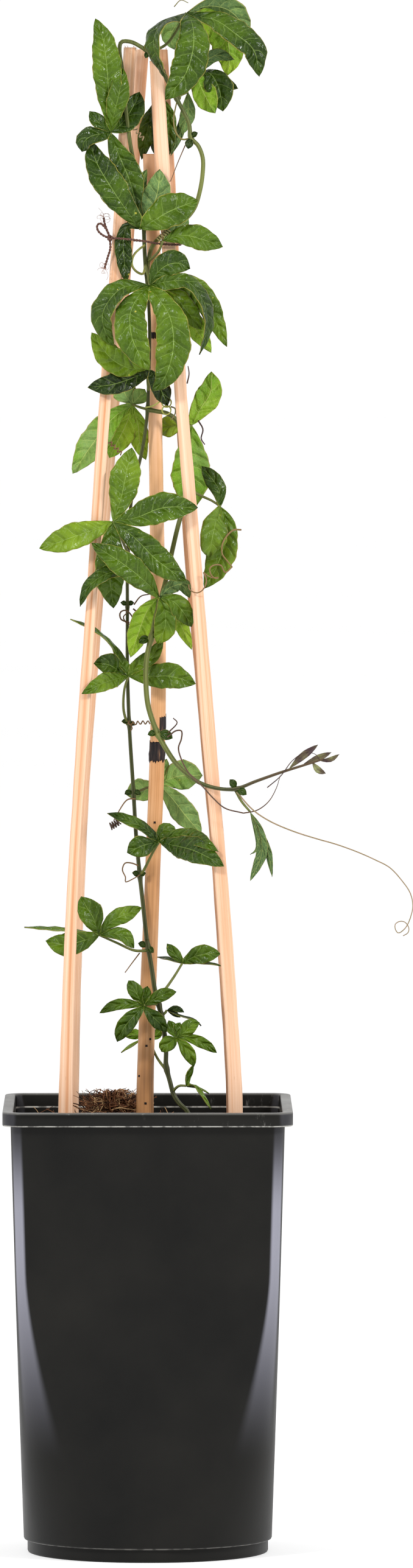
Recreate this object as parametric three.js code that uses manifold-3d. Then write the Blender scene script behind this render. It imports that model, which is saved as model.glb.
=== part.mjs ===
// A potted passion-flower vine. It climbs four split-bamboo canes that lean together round one round
// bamboo cane, in a square nursery pot with a round base. Millimetres, +Z up, the origin at the middle of
// the pot's underside. -Y is the front.
import * as THREE from "three";
import { mergeVertices } from "three/addons/utils/BufferGeometryUtils.js";
import Module from "manifold-3d";

const wasm = await Module();
wasm.setup();

// ---- Driving dimensions ----

const POT_HEIGHT = 234;
const RIM_HALF = 75; // half the outer width of the square rim
const RIM_DROP = 7.2; // height of the skirt round the rim
const RIM_CORNER = 11;
const WALL = 1.5;
const FLANGE = 4; // how far the skirt stands out from the body
const BODY_TOP_HALF = RIM_HALF - FLANGE;
const BODY_BASE_HALF = 64.6;
const FOOT_HEIGHT = 7;
const FOOT_HALF = 62.7;
const FOOT_STEP = 0.5;
const FLOOR = 2;
const TOP_CORNER = 9; // corner radius of the body under the rim
const ROUND_START = 150; // height below which the corners grow into a round base
const ROUNDEST = 0.96; // corner radius of the base, over its half width
const CORNER_STEPS = 5;

const DRAIN_RADIUS = 4.5;
const DRAIN_RING = 42;
const DRAIN_COUNT = 4;

const GAP = 0.35; // clearance between pieces that touch
const SOIL_LEVEL = 221;
const MOUND = { x: -18, y: 16, height: 9, spread: 15 }; // heap of fibre on the soil

const CANE_FOOT = 42; // height of the canes' lower ends, inside the soil
const CANE_DEPTH = 6; // thickness of a split cane from front to back
const CANE_CHAMFER = 1.3;
const BAMBOO_SIDES = 12;

const CORD_RADIUS = 0.7;
const KNOT_RADIUS = 1.9;

const BLADE = 0.7; // thickness of leaves and stipules
const MOST_ROWS = 5; // cross rows on the longest lobes
const ROW = 12; // length of blade between two cross rows
const FOLD = 0.16; // how far the edges rise above the midrib, over half the width
const WEB_SHARE = 0.22; // how far along a lobe the web to its neighbour reaches
const LAYER_STEP = 0.1; // how much higher each next layer of a leaf starts
const STALK_RADIUS = 0.8;
const STIPULE_WIDTH = 6;
const TENDRIL_RADIUS = 0.6;
const STEM_FOOT = 165; // height of the stem's lower end, inside the soil

// ---- Geometry helpers ----

const point = (p) => new THREE.Vector3(...p);

function fromTriangles(vertices, triangles) {
  const geometry = new THREE.BufferGeometry();
  const places = vertices.flatMap((v) => [v.x, v.y, v.z]);
  geometry.setAttribute("position", new THREE.Float32BufferAttribute(places, 3));
  geometry.setIndex(triangles.flat());
  return geometry;
}

// A closed geometry as a solid that can be joined and cut.
function solid(geometry) {
  const bare = geometry.clone();
  bare.deleteAttribute("normal");
  bare.deleteAttribute("uv");
  const merged = mergeVertices(bare, 1e-4);
  return new wasm.Manifold(
    new wasm.Mesh({
      numProp: 3,
      vertProperties: merged.attributes.position.array,
      triVerts: new Uint32Array(merged.index.array),
    }),
  );
}

function geometryOf(manifold) {
  const mesh = manifold.getMesh();
  const geometry = new THREE.BufferGeometry();
  geometry.setAttribute("position", new THREE.BufferAttribute(mesh.vertProperties, 3));
  geometry.setIndex(new THREE.BufferAttribute(mesh.triVerts, 1));
  return geometry;
}

const joined = (solids) => solids.reduce((sum, next) => sum.add(next));

// The outer body alone, without the small hollows that crossing blades close off.
const outerBody = (whole) => whole.decompose().reduce((a, b) => (b.volume() > a.volume() ? b : a));

// Rings of points, each anticlockwise about the way the rings go, closed at both ends.
function loft(rings) {
  const count = rings[0].length;
  const vertices = rings.flat();
  const triangles = [];
  for (let i = 0; i + 1 < rings.length; i++) {
    for (let j = 0; j < count; j++) {
      const a = i * count + j;
      const b = i * count + ((j + 1) % count);
      triangles.push([a, b, b + count], [a, b + count, a + count]);
    }
  }
  const middle = (ring) => ring.reduce((sum, p) => sum.add(p), new THREE.Vector3()).divideScalar(count);
  const first = vertices.length;
  vertices.push(middle(rings[0]), middle(rings[rings.length - 1]));
  const last = (rings.length - 1) * count;
  for (let j = 0; j < count; j++) {
    const next = (j + 1) % count;
    triangles.push([first, next, j], [first + 1, last + j, last + next]);
  }
  return fromTriangles(vertices, triangles);
}

// A round tube along a smooth curve through the points.
function tube(points, radius, sides, stepsPerSpan = 1) {
  const section = new THREE.Shape();
  for (let i = 0; i < sides; i++) {
    const angle = (2 * Math.PI * i) / sides;
    const place = [radius * Math.cos(angle), radius * Math.sin(angle)];
    if (i === 0) section.moveTo(...place);
    else section.lineTo(...place);
  }
  section.closePath();
  const route = new THREE.CatmullRomCurve3(points.map(point), false, "centripetal");
  const steps = (points.length - 1) * stepsPerSpan;
  return new THREE.ExtrudeGeometry(section, { steps, extrudePath: route, bevelEnabled: false });
}

// Value at z of a list of [z, value] pairs.
function between(pairs, z) {
  let i = 0;
  while (i + 2 < pairs.length && z > pairs[i + 1][0]) i++;
  const [z0, v0] = pairs[i];
  const [z1, v1] = pairs[i + 1];
  return v0 + ((v1 - v0) * (z - z0)) / (z1 - z0);
}

// ---- Pot ----

const RIM_FOOT = POT_HEIGHT - RIM_DROP;

const bodyHalf = (z) => between([[FOOT_HEIGHT, BODY_BASE_HALF], [POT_HEIGHT, BODY_TOP_HALF]], z);

// The corners are tight at the rim and grow into a round base.
function bodyCorner(z) {
  const growth = Math.max(0, 1 - z / ROUND_START) ** 1.6;
  return TOP_CORNER + (ROUNDEST * bodyHalf(z) - TOP_CORNER) * growth;
}

function roundedSquare(half, corner, z) {
  const ring = [];
  for (let quarter = 0; quarter < 4; quarter++) {
    const turn = (quarter * Math.PI) / 2;
    for (let i = 0; i <= CORNER_STEPS; i++) {
      const angle = (i / CORNER_STEPS) * (Math.PI / 2);
      const x = half - corner + corner * Math.cos(angle);
      const y = half - corner + corner * Math.sin(angle);
      ring.push(new THREE.Vector3(x, y, z).applyAxisAngle(new THREE.Vector3(0, 0, 1), turn));
    }
  }
  return ring;
}

const bodyRing = (z, inset) => roundedSquare(bodyHalf(z) - inset, bodyCorner(z) - inset, z);
const footRing = (z, inset) => roundedSquare(FOOT_HALF - inset, (FOOT_HALF - inset) * ROUNDEST, z);
const BODY_LEVELS = [FOOT_HEIGHT + FOOT_STEP, 30, 60, 95, 130, 165];

function potGeometry() {
  const rimRing = (half, z) => roundedSquare(half, RIM_CORNER - (RIM_HALF - half), z);
  const outside = [
    footRing(0, 0),
    footRing(FOOT_HEIGHT, 0),
    ...BODY_LEVELS.map((z) => bodyRing(z, 0)),
    rimRing(BODY_TOP_HALF, POT_HEIGHT - WALL),
    rimRing(RIM_HALF - WALL, POT_HEIGHT - WALL),
    rimRing(RIM_HALF - WALL, RIM_FOOT),
    rimRing(RIM_HALF, RIM_FOOT),
    rimRing(RIM_HALF, POT_HEIGHT),
    rimRing(BODY_TOP_HALF - WALL, POT_HEIGHT),
  ];
  const inside = [
    ...BODY_LEVELS.map((z) => bodyRing(z, WALL)).reverse(),
    footRing(FOOT_HEIGHT, WALL),
    footRing(FLOOR, WALL),
  ];
  let pot = solid(loft([...outside, ...inside]));
  for (let i = 0; i < DRAIN_COUNT; i++) {
    const angle = ((i + 0.5) * 2 * Math.PI) / DRAIN_COUNT;
    const hole = new THREE.CylinderGeometry(DRAIN_RADIUS, DRAIN_RADIUS, 3 * FLOOR, 10);
    hole.rotateX(Math.PI / 2);
    hole.translate(DRAIN_RING * Math.cos(angle), DRAIN_RING * Math.sin(angle), FLOOR / 2);
    pot = pot.subtract(solid(hole));
  }
  return geometryOf(pot);
}

// ---- Canes ----

// Each route gives a cane's middle above the soil, in the order [x, y, z]. The canes bow outwards.
const CANES = {
  cane_front_left: {
    route: [
      [-42.5, -45, 232], [-38.5, -40, 354], [-34, -35, 423], [-28.5, -29, 505], [-21.5, -20.5, 606],
      [-17, -15.5, 656], [-9, -6, 783],
    ],
    widths: [[42, 7.4], [232, 7.4], [354, 5.6], [423, 6], [505, 5.5], [606, 6.3], [656, 6.7], [783, 6.4]],
  },
  cane_front_right: {
    route: [
      [45.5, -45, 232], [44.5, -44, 260], [38, -38, 354], [32, -32, 423], [24, -24.5, 524],
      [17, -18, 606], [7.5, -9, 726], [4.5, -6, 776],
    ],
    widths: [[42, 7.3], [260, 7.2], [354, 6.6], [423, 7], [524, 6.5], [606, 6.5], [726, 7.6], [776, 6.8]],
  },
  cane_back_left: {
    route: [
      [-39.5, 45, 227], [-36, 41.5, 350], [-32, 37, 420], [-20, 24.5, 572], [-10.5, 14.5, 683],
      [-2.5, 6, 782],
    ],
    widths: [[42, 6.4], [782, 6.4]],
  },
  cane_back_right: {
    route: [[44.5, 45, 226], [37, 37, 350], [31, 31, 420], [22, 21.5, 523], [13, 12, 683], [7.5, 6, 782]],
    widths: [[42, 6.4], [782, 6.2]],
  },
};
const BAMBOO = {
  route: [
    [-1.5, 0, 229], [-1, 0, 257], [2.5, 0, 352], [5.5, 0, 440], [4.5, 0, 558], [4, 0, 589],
    [4.5, 0, 629], [3, 0, 682], [1, 0, 728],
  ],
  widths: [[42, 9.4], [229, 9.2], [257, 8.7], [352, 7.9], [440, 7.9], [558, 7.3], [728, 7]],
};

// In the soil a cane goes straight down.
const wholeRoute = (route) => [[route[0][0], route[0][1], CANE_FOOT], ...route];

function squareSection(half, grow, [x, y, z]) {
  const a = half + grow;
  const b = CANE_DEPTH / 2 + grow;
  const c = CANE_CHAMFER;
  const corners = [
    [a, c - b], [a, b - c], [a - c, b], [c - a, b],
    [-a, b - c], [-a, c - b], [c - a, -b], [a - c, -b],
  ];
  return corners.map(([dx, dy]) => new THREE.Vector3(x + dx, y + dy, z));
}

function roundSection(half, grow, [x, y, z]) {
  const ring = [];
  for (let i = 0; i < BAMBOO_SIDES; i++) {
    const angle = (2 * Math.PI * i) / BAMBOO_SIDES;
    ring.push(new THREE.Vector3(x + (half + grow) * Math.cos(angle), y + (half + grow) * Math.sin(angle), z));
  }
  return ring;
}

// A cane, or with grow above 0 the hole that it stands in.
function caneGeometry({ route, widths }, section, grow = 0) {
  const rings = wholeRoute(route).map((p) => section(between(widths, p[2]) / 2, grow, p));
  if (grow > 0) rings[0].forEach((p) => (p.z -= grow));
  return loft(rings);
}

// ---- Vine: where its parts are ----

// Which way a blade's upper side faces.
const front = new THREE.Vector3(0, -1, 0.25);
const upFront = new THREE.Vector3(0, -0.75, 0.65);
const left = new THREE.Vector3(-0.85, -0.5, 0.1);
const right = new THREE.Vector3(0.85, -0.5, 0.1);
const rightFront = new THREE.Vector3(0.4, -0.9, 0.1);
const leftFront = new THREE.Vector3(-0.5, -0.8, 0.3);
const back = new THREE.Vector3(0, 1, 0.3);
const backUp = new THREE.Vector3(0, 0.7, 0.7);
const edgeOn = new THREE.Vector3(0, -0.25, 1);

// A lobe of a leaf: its greatest width, the way its upper side faces, and its midrib from the hub on.
const lobe = (width, facing, ...midrib) => ({ width, facing, midrib });

const STEM_RADIUS = 1.15;
const UPPER_STEM_RADIUS = 0.9;
const RIGHT_SHOOT_RADIUS = 1.1;
const SIDE_SHOOT_RADIUS = 1.4;
const THICK_SPANS = 15; // spans of the main stem that have the thicker radius

// The main stem, from the soil up to the node beside the cane tops.
const MAIN_STEM = [
  [22, -12, 224.5], [20.5, -12, 230.5], [16.5, -12, 234.5], [13.5, -11, 239], [11.5, -10, 246],
  [9.5, -9, 254], [9.5, -9, 262], [8.5, -8.5, 272], [6, -8.5, 285], [4, -8.5, 292],
  [2, -8.5, 305], [-0.5, -8, 319.5], [-2.5, -7, 338.5], [-4, -5.5, 352], [-6, -5, 373.5],
  [-7.5, -5, 398.5], [-9.5, -5, 430.5], [-10.5, -5, 460], [-10.5, -5, 491.5], [-10.5, -6, 514],
  [-9.5, -6, 536], [-7.5, -6, 555], [-4, -6.5, 569], [-1.5, -7, 582], [0, -8, 595.5],
  [0.5, -8.5, 609], [1, -9, 624.5], [1, -9, 640.5], [0, -9, 659.5], [-1.2, -9, 672],
  [-1.8, -10, 685], [-2, -11, 700.5], [-3.5, -12, 709], [-6, -14, 719.5], [-8.5, -16, 730.5],
  [-10, -16.5, 741], [-11.5, -16, 754], [-13, -14.5, 770.5], [-14.5, -13, 782.5],
  [-13.5, -12, 786], [-8.5, -11, 786], [-3.5, -10, 783.5], [0.5, -9, 781],
];

// The stem in the soil, or with grow above 0 the hole that it stands in.
function stemInSoil(grow) {
  const [x, y, top] = MAIN_STEM[0];
  return tube([[x, y, STEM_FOOT - grow], [x, y, top + STEM_RADIUS]], STEM_RADIUS + grow, 8);
}

// The shoot that forks off below the tie and arches over to the right.
const RIGHT_SHOOT = [
  [-0.6, -9, 665], [0.3, -7.5, 672], [2.5, -6.5, 680], [8.5, -5, 686.5], [15, -6, 690.5],
  [21, -8, 695.5], [24.5, -10, 700.5], [27, -11, 708.5], [28.5, -11, 718], [28.5, -11, 726],
  [26, -11, 732.5], [22.5, -11, 736], [21.5, -11, 743.5], [18.5, -11, 750], [15, -12, 756.5],
  [12, -12, 762.5], [9.5, -12, 767], [8, -12, 771.5],
];

// The side shoot that hangs down in front and then grows out to the right.
const SIDE_SHOOT = [
  [0, -8, 595.5], [5, -9.5, 594.5], [10, -9, 593.5], [15, -8, 590], [18.5, -7.5, 583],
  [20, -7.5, 572], [20.5, -8, 560], [19.5, -9, 548], [16, -11, 536], [13, -13, 523.5],
  [9.5, -16, 507.5], [5, -17, 490.5], [1.5, -16, 476], [-0.5, -16, 467], [-1, -17, 456],
  [0, -17, 443], [2.5, -17, 434], [5, -17, 427.5],
  [9, -20, 420.5], [14.5, -25, 412.5], [20.5, -31, 407], [27.5, -38, 402.5], [37, -43, 400],
  [45.5, -45, 400], [56, -46, 404], [68.5, -47, 408.5], [78, -47, 411.5], [86, -47, 414],
  [90.5, -47, 415.5],
];

const TENDRILS = [
  // the long one, with a curled end
  [
    [46, -45, 398.5], [53, -47, 390.5], [58, -48, 386.5], [65, -49, 382.5], [76, -50, 378],
    [87, -50, 374.5], [97.5, -50, 371.5], [108.5, -50, 367.5], [117.5, -50, 363.5],
    [125, -50, 359.5], [131.5, -50, 352.5], [135.5, -50, 346.5], [137, -50, 340],
    [136, -50, 334.5], [134, -49.5, 329.5], [132, -49, 327], [129.5, -48, 325.5],
    [128, -47, 327.5], [128, -46.5, 330], [130.5, -46, 331.5], [133, -46, 331], [135, -46, 328],
    [134.5, -46.5, 325.5], [132, -47, 324],
  ],
  // the one that loops under the side shoot and back to it
  [
    [5, -17, 427], [9.5, -19, 425.5], [14.5, -21, 429], [17.5, -22, 429], [17.5, -22, 425],
    [16, -24, 420.5], [17.5, -29, 414.5], [21.5, -36, 407.5], [28.5, -42, 401], [34, -44, 395],
    [40, -45, 390], [49.5, -46, 387.5], [56.5, -46, 389], [62.5, -46, 393.5], [66.5, -46, 400.5],
    [68.5, -47, 407],
  ],
  // the loop beside the right shoot
  [
    [22, -11, 736], [18, -10, 735.5], [14.8, -9.5, 739], [13.5, -9.5, 745.5], [14.5, -10.5, 752],
    [15.5, -12, 756],
  ],
];

const MAIN_LEAVES = [
  // crown leaf
  {
    stalk: [[0.5, -9, 781], [7, -8, 783], [10.5, -8, 785.5], [14.5, -9, 791]],
    hub: [20, -12, 801],
    layers: [
      [
        lobe(14, left, [9, -20, 797], [4, -24, 791], [3, -25, 783], [6, -22, 774], [11, -17, 765]),
        lobe(18, front, [23, -20, 796], [24, -26, 787], [23, -27, 779], [19, -26, 768], [9, -22, 756]),
        lobe(16, upFront, [28, -12, 799], [36, -12, 797], [46, -14, 790], [55, -14, 782], [58, -10, 768]),
      ],
      [
        lobe(15, backUp, [31, -4, 805], [42, 2, 803], [49, 4, 796], [52, 4, 788]),
        lobe(20, back, [31, 2, 798], [40, 6, 791], [42.5, 6, 780], [41.5, 4, 768.5]),
        lobe(11, back, [15, -6, 795], [12, -3, 789], [14, -2, 782]),
      ],
    ],
  },
  // upper left leaf
  {
    stalk: [[-6.5, -13, 718], [-12, -15, 725.5], [-16.5, -19, 732.5]],
    hub: [-19, -22, 739],
    layers: [
      [
        lobe(15, front, [-20, -24, 756], [-21, -24, 773], [-23, -22, 787], [-27, -18, 798]),
        lobe(9, upFront, [-25, -25, 744], [-30, -24, 750]),
        lobe(12, upFront, [-26, -27, 738], [-32, -27, 735], [-34, -24, 729]),
        lobe(15, front, [-15.5, -22, 729], [-9.5, -20, 715], [-5, -19, 699]),
        lobe(15, front, [-13, -16, 744], [-6, -13.8, 755], [-4, -13, 760]),
      ],
      [lobe(11, front, [-17, -25.5, 750], [-14.5, -26.5, 760], [-12.8, -24, 772.5])],
    ],
  },
  // tie leaf
  {
    stalk: [[-1.9, -10.6, 694], [-2.5, -16, 694]],
    hub: [-4, -21, 689],
    layers: [
      [
        lobe(16, front, [-11, -24, 699], [-19, -26, 711], [-26, -24, 723], [-30, -20, 735]),
        lobe(18, front, [3, -24, 693.5], [12, -25, 698.5], [26, -20, 704]),
      ],
      // behind the tie
      [lobe(9, front, [-10, -18.5, 691], [-12.5, -17.4, 684], [-12, -18.6, 672], [-11, -19, 661])],
      [
        lobe(15, back, [2, -17, 699], [5.5, -17, 710], [6.1, -16, 720]),
        lobe(9, back, [-2.5, -14, 702], [-3.8, -14, 712], [-0.2, -14, 720]),
      ],
    ],
  },
  // broad leaf
  {
    stalk: [[-1.1, -9, 670.5], [0, -18, 666]],
    hub: [1, -24, 660],
    layers: [
      [
        lobe(14, front, [5, -26, 666.5], [11, -27, 671], [16.5, -26, 671.5], [22, -23, 668.5]),
        lobe(
          14, leftFront,
          [-6.6, -29, 660], [-13, -32, 659], [-20, -33, 652.5],
          [-23.5, -33, 645], [-22, -31, 636], [-17.5, -28, 628.6],
        ),
        lobe(17, front, [-5, -31, 654], [-9, -34.5, 645], [-8, -35.5, 633], [-4, -34, 624], [0.7, -32, 616]),
        lobe(
          18, front,
          [6, -30, 653], [11.5, -33.5, 644], [13.5, -34.5, 632],
          [12, -33, 621], [8, -31, 611], [2.5, -28, 605.5],
        ),
        lobe(11, right, [10, -28, 662], [20, -29, 662], [28, -28, 653], [31, -26, 641], [27, -24, 624]),
      ],
      [
        lobe(12, front, [12, -24, 656], [20, -23, 647], [28, -20, 637]),
        lobe(12, front, [18, -21, 662], [28, -17, 655], [35, -14, 642], [41, -12, 628]),
      ],
      [lobe(12, back, [15, -23, 650], [24, -20, 639], [33, -13, 625])],
    ],
  },
  // dark leaf under the broad leaf
  {
    stalk: [[0.5, -9, 605.5], [0, -14, 612]],
    hub: [1, -18, 616.5],
    layers: [
      [
        lobe(14, front, [-9, -23, 617], [-18, -26, 621.5], [-24.5, -27, 629], [-29, -26, 635.5]),
        lobe(12, front, [-9, -23, 611.5], [-19, -26, 608.5], [-31, -25, 607.3]),
        lobe(10, front, [5, -17.5, 610], [8, -17, 603.5], [10.5, -16.5, 597.5]),
      ],
    ],
  },
  // backlit leaf
  {
    stalk: [[0, -7, 595.5], [-4, -4, 596.5]],
    hub: [-8, -2, 598],
    layers: [
      [
        lobe(15, back, [-18, -5, 591], [-29, -5, 577], [-39, -4, 562]),
        lobe(14, back, [-11, 0, 588], [-16, 1, 578], [-20, 1, 570]),
        lobe(10, back, [-5, 1, 588], [-4, 4.5, 578], [-1, 7, 569]),
        lobe(13, back, [-12, 0, 604], [-14, 2, 610]),
        lobe(9, back, [-4.5, -2, 602], [-1.5, -3, 606]),
      ],
    ],
  },
  // star leaf
  {
    stalk: [[-10.5, -7, 521.5], [-13.5, -18, 528.5], [-15.5, -28, 534]],
    hub: [-18, -33, 538],
    layers: [
      [
        lobe(16, front, [-14, -32, 549], [-11, -29, 563], [-8, -25, 576]),
        lobe(16, front, [-6, -34, 540], [8, -33, 545], [26, -30, 545]),
        lobe(14, front, [-28, -37, 534], [-42, -38, 529], [-56, -34, 524]),
        lobe(15, front, [-7, -36, 530], [5, -35, 518], [20, -30, 507]),
        lobe(16, front, [-19, -34, 524], [-19.5, -32, 508], [-17.5, -30, 493]),
      ],
    ],
  },
  // wide leaf
  {
    stalk: [[-10.5, -5, 431.5], [-12.5, -8, 439.5], [-12, -10, 450.5]],
    hub: [-10, -13, 457],
    layers: [
      [
        lobe(10, front, [-17, -24, 456], [-24, -36, 454], [-34, -40, 449]),
        lobe(13, front, [-15, -14, 460], [-21, -20, 463.5], [-28, -22, 464]),
        lobe(8, edgeOn, [-17, -11, 471], [-26, -13, 480], [-40, -14, 487]),
        lobe(8, front, [-5, -11, 463], [2, -9, 467], [8, -8, 476]),
        lobe(14, front, [1, -12, 457], [12, -10, 457], [25, -8, 453]),
      ],
    ],
  },
  // round leaf behind the bamboo
  {
    stalk: [[-8, -5, 395.5], [-3.5, 3, 397], [1, 9, 398.5]],
    hub: [6, 11, 400],
    layers: [
      [
        lobe(17, back, [14, 13, 403.5], [21, 14, 404.5], [28.5, 13, 404]),
        lobe(13, back, [-1, 12, 397], [-6, 13, 396], [-11, 12, 394]),
        lobe(13, back, [13, 11, 392], [20, 10, 383], [28, 8, 374]),
        lobe(7, back, [8, 12, 407], [10, 12, 413]),
      ],
    ],
  },
  // leaf across the bamboo
  {
    stalk: [[-4, -5, 353], [-2, -8, 356], [2.5, -12, 365]],
    hub: [6, -15, 371],
    layers: [
      [
        lobe(7, upFront, [0, -16, 377], [-10, -16, 382], [-21, -14, 386]),
        lobe(12, front, [-0.5, -18, 370], [-6, -20, 368], [-10.7, -19, 365.5]),
        lobe(14, front, [14, -23, 369.5], [24, -36, 367.5], [32, -43, 364], [39.5, -45.5, 360]),
        lobe(8, upFront, [7, -12, 376], [11, -9, 378], [15, -7, 376]),
      ],
      [lobe(9, front, [14, -17, 375], [24, -31, 374], [31, -41.5, 371], [36.5, -44, 367.5])],
    ],
  },
  // left low leaf
  {
    stalk: [[0, -8, 314], [-7, -14, 314.5], [-16.5, -20, 319]],
    hub: [-25, -24, 323],
    layers: [
      [
        lobe(13, front, [-28, -23, 331.5], [-32, -21.5, 338], [-34.5, -20, 343]),
        lobe(9, front, [-19, -23, 330], [-11, -20, 334], [-3, -17, 337]),
        lobe(9, upFront, [-19, -25, 324], [-12, -24, 322], [-7, -21, 316]),
        lobe(13, front, [-34, -23, 320], [-43, -22, 318], [-53, -22, 320]),
      ],
      [lobe(7, edgeOn, [-37, -20, 325], [-50, -19, 326], [-64, -18, 327])],
    ],
  },
  // right low leaf
  {
    stalk: [[5, -8, 288.5], [9, -5, 293.5], [14, -2, 300.5]],
    hub: [18, -1, 307],
    layers: [
      [
        lobe(6, front, [14.5, -1, 311.5], [12, -1, 314.5], [10, -1, 317.3]),
        lobe(10, front, [23, -2, 310], [30, -4, 312], [38, -4, 312]),
      ],
      [
        lobe(5, edgeOn, [12, 2, 309], [5, 7, 310]),
        lobe(5, edgeOn, [25, -1, 307], [38, -3, 306]),
      ],
    ],
  },
  // low star leaf
  {
    stalk: [[5.5, -8, 286], [2.5, -13, 286.5]],
    hub: [-2, -16, 286],
    layers: [
      [
        lobe(8, front, [-5, -18, 291], [-8, -18, 296], [-10, -16, 299]),
        lobe(6, front, [-1, -16, 292], [0, -15, 296]),
        lobe(7, front, [3, -17, 289], [9, -17, 292], [15, -15, 293]),
        lobe(6, front, [-10, -19, 287], [-18, -19, 286], [-25, -17, 282]),
        lobe(9, front, [-6, -19, 282], [-12, -19, 275], [-16, -16, 267]),
        lobe(8, front, [1, -17, 282], [6, -16, 277], [10, -14, 272]),
      ],
    ],
  },
  // lowest right leaf
  {
    stalk: [[9, -9, 267], [12, -12, 268.5]],
    hub: [15, -15, 269],
    layers: [
      [
        lobe(5, front, [15, -15, 273], [17, -14, 277]),
        lobe(8, front, [19, -16, 272], [23, -16, 276], [27, -14, 277]),
        lobe(6, front, [21, -16, 269], [29, -15, 266], [36, -13, 261]),
        lobe(7, front, [18, -18, 266], [22, -18, 260], [24, -16, 254]),
        lobe(8, front, [13, -19, 268], [9, -20, 265], [7, -18, 262]),
        lobe(6, front, [13, -14, 273], [11, -12, 278]),
      ],
    ],
  },
  // pale leaf behind the bamboo
  {
    stalk: [[9, -9, 252.5], [5, -1, 257.5], [2, 6, 263.5]],
    hub: [0, 9, 268],
    layers: [
      [
        lobe(6, back, [-6, 10, 269], [-12, 10, 268]),
        lobe(4, edgeOn, [-6, 9, 265], [-14, 8, 260]),
        lobe(6, back, [4, 9, 269], [7, 8, 272]),
      ],
    ],
  },
  // bud leaf
  {
    stalk: [[7, -8, 280], [9, -8, 281.5]],
    hub: [10, -8, 283],
    layers: [
      [
        lobe(4, upFront, [14, -8, 284], [19, -8, 282]),
        lobe(3, front, [14, -6, 281], [17, -6, 279]),
      ],
      [lobe(3, edgeOn, [18, -10, 280], [25, -10, 278], [28, -9, 275])],
    ],
  },
  // ground leaf
  {
    stalk: [[13, -10, 240], [14, -12, 242], [16.5, -14, 244]],
    hub: [20, -15, 244],
    layers: [
      [
        lobe(5, right, [21, -15, 249], [24, -14, 255]),
        lobe(4, edgeOn, [24, -16, 245], [28, -17, 240], [33, -17, 232]),
        lobe(3, edgeOn, [25, -13, 243], [32, -12, 240]),
      ],
    ],
  },
];

const RIGHT_LEAVES = [
  // drooping top leaf
  {
    stalk: [[16.5, -10, 756.5], [18.5, -4, 764]],
    hub: [25, -2, 770],
    layers: [
      [
        lobe(15, front, [32, -4, 770], [37, -5, 762], [39, -5, 750]),
        lobe(10, upFront, [35, 2, 768], [41, 4, 764], [47, 3, 762]),
      ],
      [
        lobe(7, back, [35, 0, 779], [45, -2, 777]),
        lobe(13, back, [28, -6, 762], [31, -8, 756], [35, -9, 749]),
      ],
    ],
  },
  // narrow top leaf
  {
    stalk: [[15.5, -9, 757.5], [18.5, -2, 759]],
    hub: [21, 0, 760],
    layers: [
      [lobe(8, back, [21, 2, 750], [18, 2, 738])],
      [lobe(5, back, [18, 4, 743], [12, 3, 727])],
    ],
  },
  // leaf among the cane tops
  {
    stalk: [[15, -10, 757], [12, -2, 760.5]],
    hub: [7, 0, 758],
    layers: [
      [
        lobe(9, front, [2, 0, 747], [-1, 0, 736], [-3, 0, 725]),
        lobe(8, front, [11, 0, 748], [11, 0, 737], [11, 0, 727]),
      ],
      [lobe(7, left, [2, -1, 751], [2, -1, 737], [4, -1, 727])],
    ],
  },
  // right tie leaf
  {
    stalk: [[0.3, -7.5, 672], [3.5, -14, 675], [6, -20, 678]],
    hub: [8, -23, 683],
    layers: [
      [lobe(13, front, [18, -24, 686], [28, -22, 684], [39, -18, 680])],
      [lobe(9, back, [13, -20, 687], [18, -17, 691], [21, -13, 695])],
    ],
  },
];

const SIDE_LEAVES = [
  // pale right leaf
  {
    stalk: [[17.7, -7.6, 585], [20, -3, 586]],
    hub: [23, 0, 587],
    layers: [
      [
        lobe(13.5, back, [27.5, 2, 596], [32.5, 2, 604], [33.3, 0, 615]),
        lobe(20, back, [22.8, 2, 574], [22.3, 2.5, 560], [21.8, 1, 541.5]),
        lobe(13, front, [17, -1, 587.5], [10.5, 4.5, 586], [4, 6.5, 585]),
      ],
    ],
  },
  // curled right leaf
  {
    stalk: [[20.2, -8.3, 555], [27, -8, 551], [33.5, -9, 548]],
    hub: [38, -10, 545],
    layers: [
      [
        lobe(16, rightFront, [35, -16, 536], [33, -18, 527], [32, -14, 519]),
        lobe(15, front, [41, -8, 537], [40, -7, 526], [36, -6, 514], [29.6, -5, 502.3]),
        lobe(9, front, [37, -7, 554], [33, -5, 560], [28, -2, 566]),
      ],
    ],
  },
  // hanging leaf
  {
    stalk: [[1.5, -16, 476.5], [3, -20, 485.5], [4.5, -26, 492.5]],
    hub: [6, -30, 499],
    layers: [
      [
        lobe(14, front, [-1, -40, 507], [-12, -44, 516], [-29, -42, 527]),
        lobe(12, front, [9, -27, 491], [9, -24, 483], [5, -20, 474]),
        lobe(11, front, [14, -28, 496], [19, -25, 490], [23, -22, 483]),
      ],
      [
        lobe(8, back, [13, -22, 492], [18, -17, 482], [23, -14, 471]),
        lobe(8, back, [12, -26, 504], [18, -24, 505], [22, -22, 498]),
        lobe(12, back, [0, -24, 492], [-5, -17, 479], [-9, -14, 467]),
      ],
      [
        lobe(9, upFront, [-1, -28, 506], [-11, -32, 512], [-22, -39, 511], [-31, -40, 504], [-35, -36, 494]),
      ],
    ],
  },
  // young leaf
  {
    stalk: [[45.5, -44, 399], [48.5, -43, 393.5]],
    hub: [53, -42, 388],
    layers: [
      [lobe(6, back, [57.5, -41, 379], [59, -40, 367], [53, -40, 352])],
      [lobe(4, back, [60, -39, 373], [62.5, -38, 366], [64.5, -37, 354])],
      [lobe(2.5, back, [57, -43, 373], [56, -44, 368], [53, -44, 366])],
    ],
  },
];

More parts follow.
